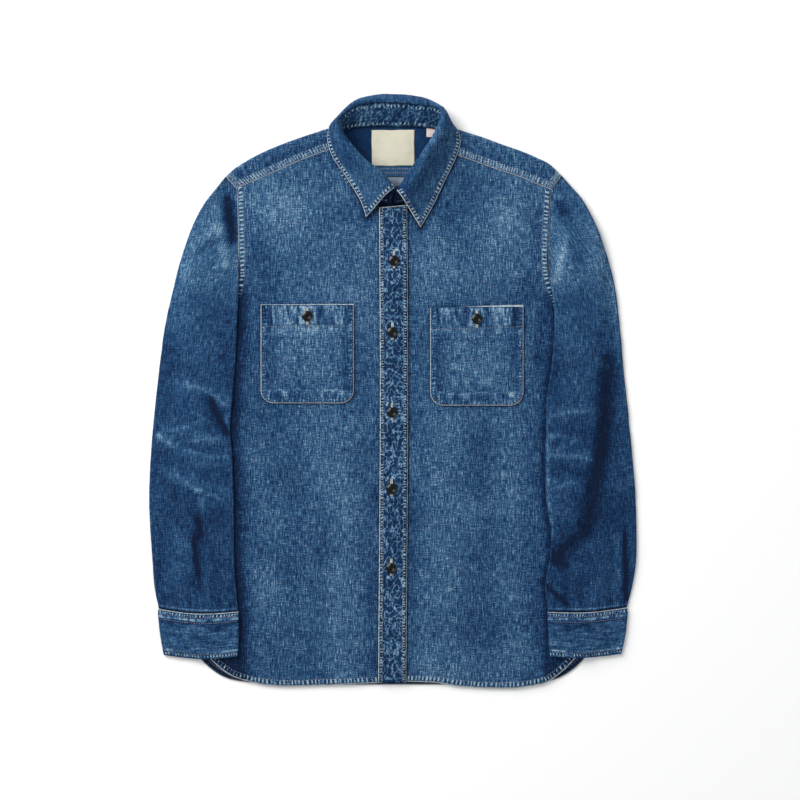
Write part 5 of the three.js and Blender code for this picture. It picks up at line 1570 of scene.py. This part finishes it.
def makeThreads(name, rows, values):
    mesh = bpy.data.meshes.new(name + "_path")
    points, edges = [], []
    for row in rows:
        start = len(points)
        points.extend((row * toMetres).tolist())
        edges.extend((start + i, start + i + 1) for i in range(len(row) - 1))
    mesh.from_pydata(points, edges, [])
    path = addObject(name + "_path", mesh)
    modifier = path.modifiers.new("threads", "NODES")
    modifier.node_group = stitchTree
    for socket in stitchTree.interface.items_tree:
        if socket.in_out == "INPUT" and socket.name in values:
            modifier[socket.identifier] = values[socket.name]
    bpy.context.view_layer.update()
    ready = path.evaluated_get(bpy.context.evaluated_depsgraph_get())
    made = bpy.data.meshes.new_from_object(ready)
    made.name = name
    path.modifiers.remove(modifier)
    bpy.data.objects.remove(path)
    return addObject(name, made)


def buttonholeRow(x, y, heightAt):
    # upright slot: down one side and up the other
    half, width = buttonhole["half"], buttonhole["width"] / 2
    rows = []
    for side in (-1, 1):
        line = np.array([[x + side * width * 0.5, y + t] for t in np.linspace(-half, half, 90)])
        rows.append(np.column_stack([line, heightAt(line[:, 0], line[:, 1]) + 0.12]))
    return rows


holeRows = []
for name, x, y in buttonPlaces:
    holeRows += buttonholeRow(x, y + buttonhole["rise"], lambda px, py: placketTop(py) + 0.3)
for spec in pockets:
    holeRows += buttonholeRow(spec["midX"], spec["buttonY"],
                              lambda px, py, spec=spec: pocketTop(spec, px, py) + 0.25)
threads = dict(Spacing=stitch["spacing"], Length=stitch["length"], Thickness=stitch["thickness"], Across=0.0,
               Unevenness=0.00012, Seed=5, Thread=threadMaterial)
threadPieces = {}
for group, rows in stitchRows.items():
    threadPieces[group] = makeThreads("topstitching_" + group, rows, threads)
holeValues = dict(threads, Thread=holeThread, Spacing=buttonhole["spacing"], Length=buttonhole["length"],
                  Thickness=buttonhole["thickness"], Across=1.0, Unevenness=0.00008)
threadPieces["buttonholes"] = makeThreads("buttonhole_threads", holeRows, holeValues)
print("stitches and buttonholes made")


# Each piece goes under the root body and hides the solid it stands for; the table lists what each was cut
# from and what it lies on

cutSizes = dict(
    back_panel=(0.526, 0.660, 0.315, []), back_yoke=(0.46, 0.105, 0.0344, ["back_panel_denim"]),
    front_right=(0.275, 0.70, 0.167, ["back_panel_denim"]),
    front_left=(0.2505, 0.698, 0.152, ["back_panel_denim"]),
    placket=(0.0365, 0.62, None, ["front_right_denim", "front_left_denim"]),
    pocket_right=(0.121, 0.1285, 0.0154, ["front_right_denim"]),
    pocket_left=(0.121, 0.129, 0.0155, ["front_left_denim"]),
    sleeve_right=(0.29, 0.566, 0.102, ["front_right_denim"]),
    sleeve_left=(0.29, 0.566, 0.102, ["front_left_denim"]),
    cuff_right=(0.21, 0.06, None, ["front_right_denim"]), cuff_left=(0.21, 0.06, None, ["front_left_denim"]),
    collar_stand=(0.42, 0.032, 0.0109, ["back_yoke_denim"]),
    collar_leaf=(0.46, 0.05, 0.0178, ["collar_stand_denim"]),
    neck_label=(0.0555, 0.0465, None, ["back_yoke_denim"]),
    care_tag=(0.016, 0.012, None, ["back_yoke_denim"]),
)
for node, piece in pieces.items():
    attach(piece, "root")
    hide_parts(node)
for piece in threadPieces.values():
    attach(piece, "root")
for node, (width, length, area, restsOn) in cutSizes.items():
    extra = dict(area=area) if area else {}
    if restsOn:
        extra["rests_on"] = restsOn


# Floor, light and camera

def makeFloor():
    material, tree, shader = newMaterial("paleTableTop")
    place = tree.nodes.new("ShaderNodeTexCoord").outputs["Object"]
    noise = addNode(tree, "ShaderNodeTexNoise", {"Vector": place, "Scale": 900.0}).outputs[0]
    colour = rampNode(tree, noise, [(0, (0.955, 0.955, 0.96)), (1, (0.985, 0.985, 0.985))])
    finishShader(tree, shader, colour, 0.95)
    mesh = bpy.data.meshes.new("table_top")
    size, z = 3.0, -0.0006
    corners = [(-size, -size, z), (size, -size, z), (size, size, z), (-size, size, z)]
    mesh.from_pydata(corners, [], [(0, 1, 2, 3)])
    mesh.materials.append(material)
    floor = addObject("table_top", mesh)


def addArea(name, place, size, energy, colour):
    data = bpy.data.lights.new(name, "AREA")
    data.shape = "SQUARE"
    data.size = size
    data.energy = energy
    data.color = colour
    lamp = addObject(name, data)
    lamp.location = place
    lamp.rotation_euler = (-Vector(place)).to_track_quat("-Z", "Y").to_euler()


makeFloor()
# place, size, watts and colour of each lamp
lamps = dict(
    keySoftbox=((-1.9, 1.7, 1.7), 2.4, 122.0, (1.0, 0.985, 0.96)),
    glintLamp=((-1.9, 1.7, 1.95), 0.25, 5.0, (1, 1, 1)),
    fillSoftbox=((1.8, -1.2, 2.2), 1.8, 12.0, (0.95, 0.975, 1.0)),
)
for name, values in lamps.items():
    addArea(name, *values)
world = bpy.data.worlds.new("studio")
world.use_nodes = True
background = world.node_tree.nodes["Background"].inputs
background["Color"].default_value = (0.97, 0.985, 1.0, 1)
background["Strength"].default_value = 0.47
scene.world = world
scene.view_settings.view_transform = "Standard"

cameraData = bpy.data.cameras.new("straightDown")
cameraData.lens = 100
cameraData.sensor_width = 36
camera = addObject("straightDown", cameraData)
camera.location = (0.00975, -0.00975, 2.889)
scene.camera = camera
print("stage, lights and camera ready")
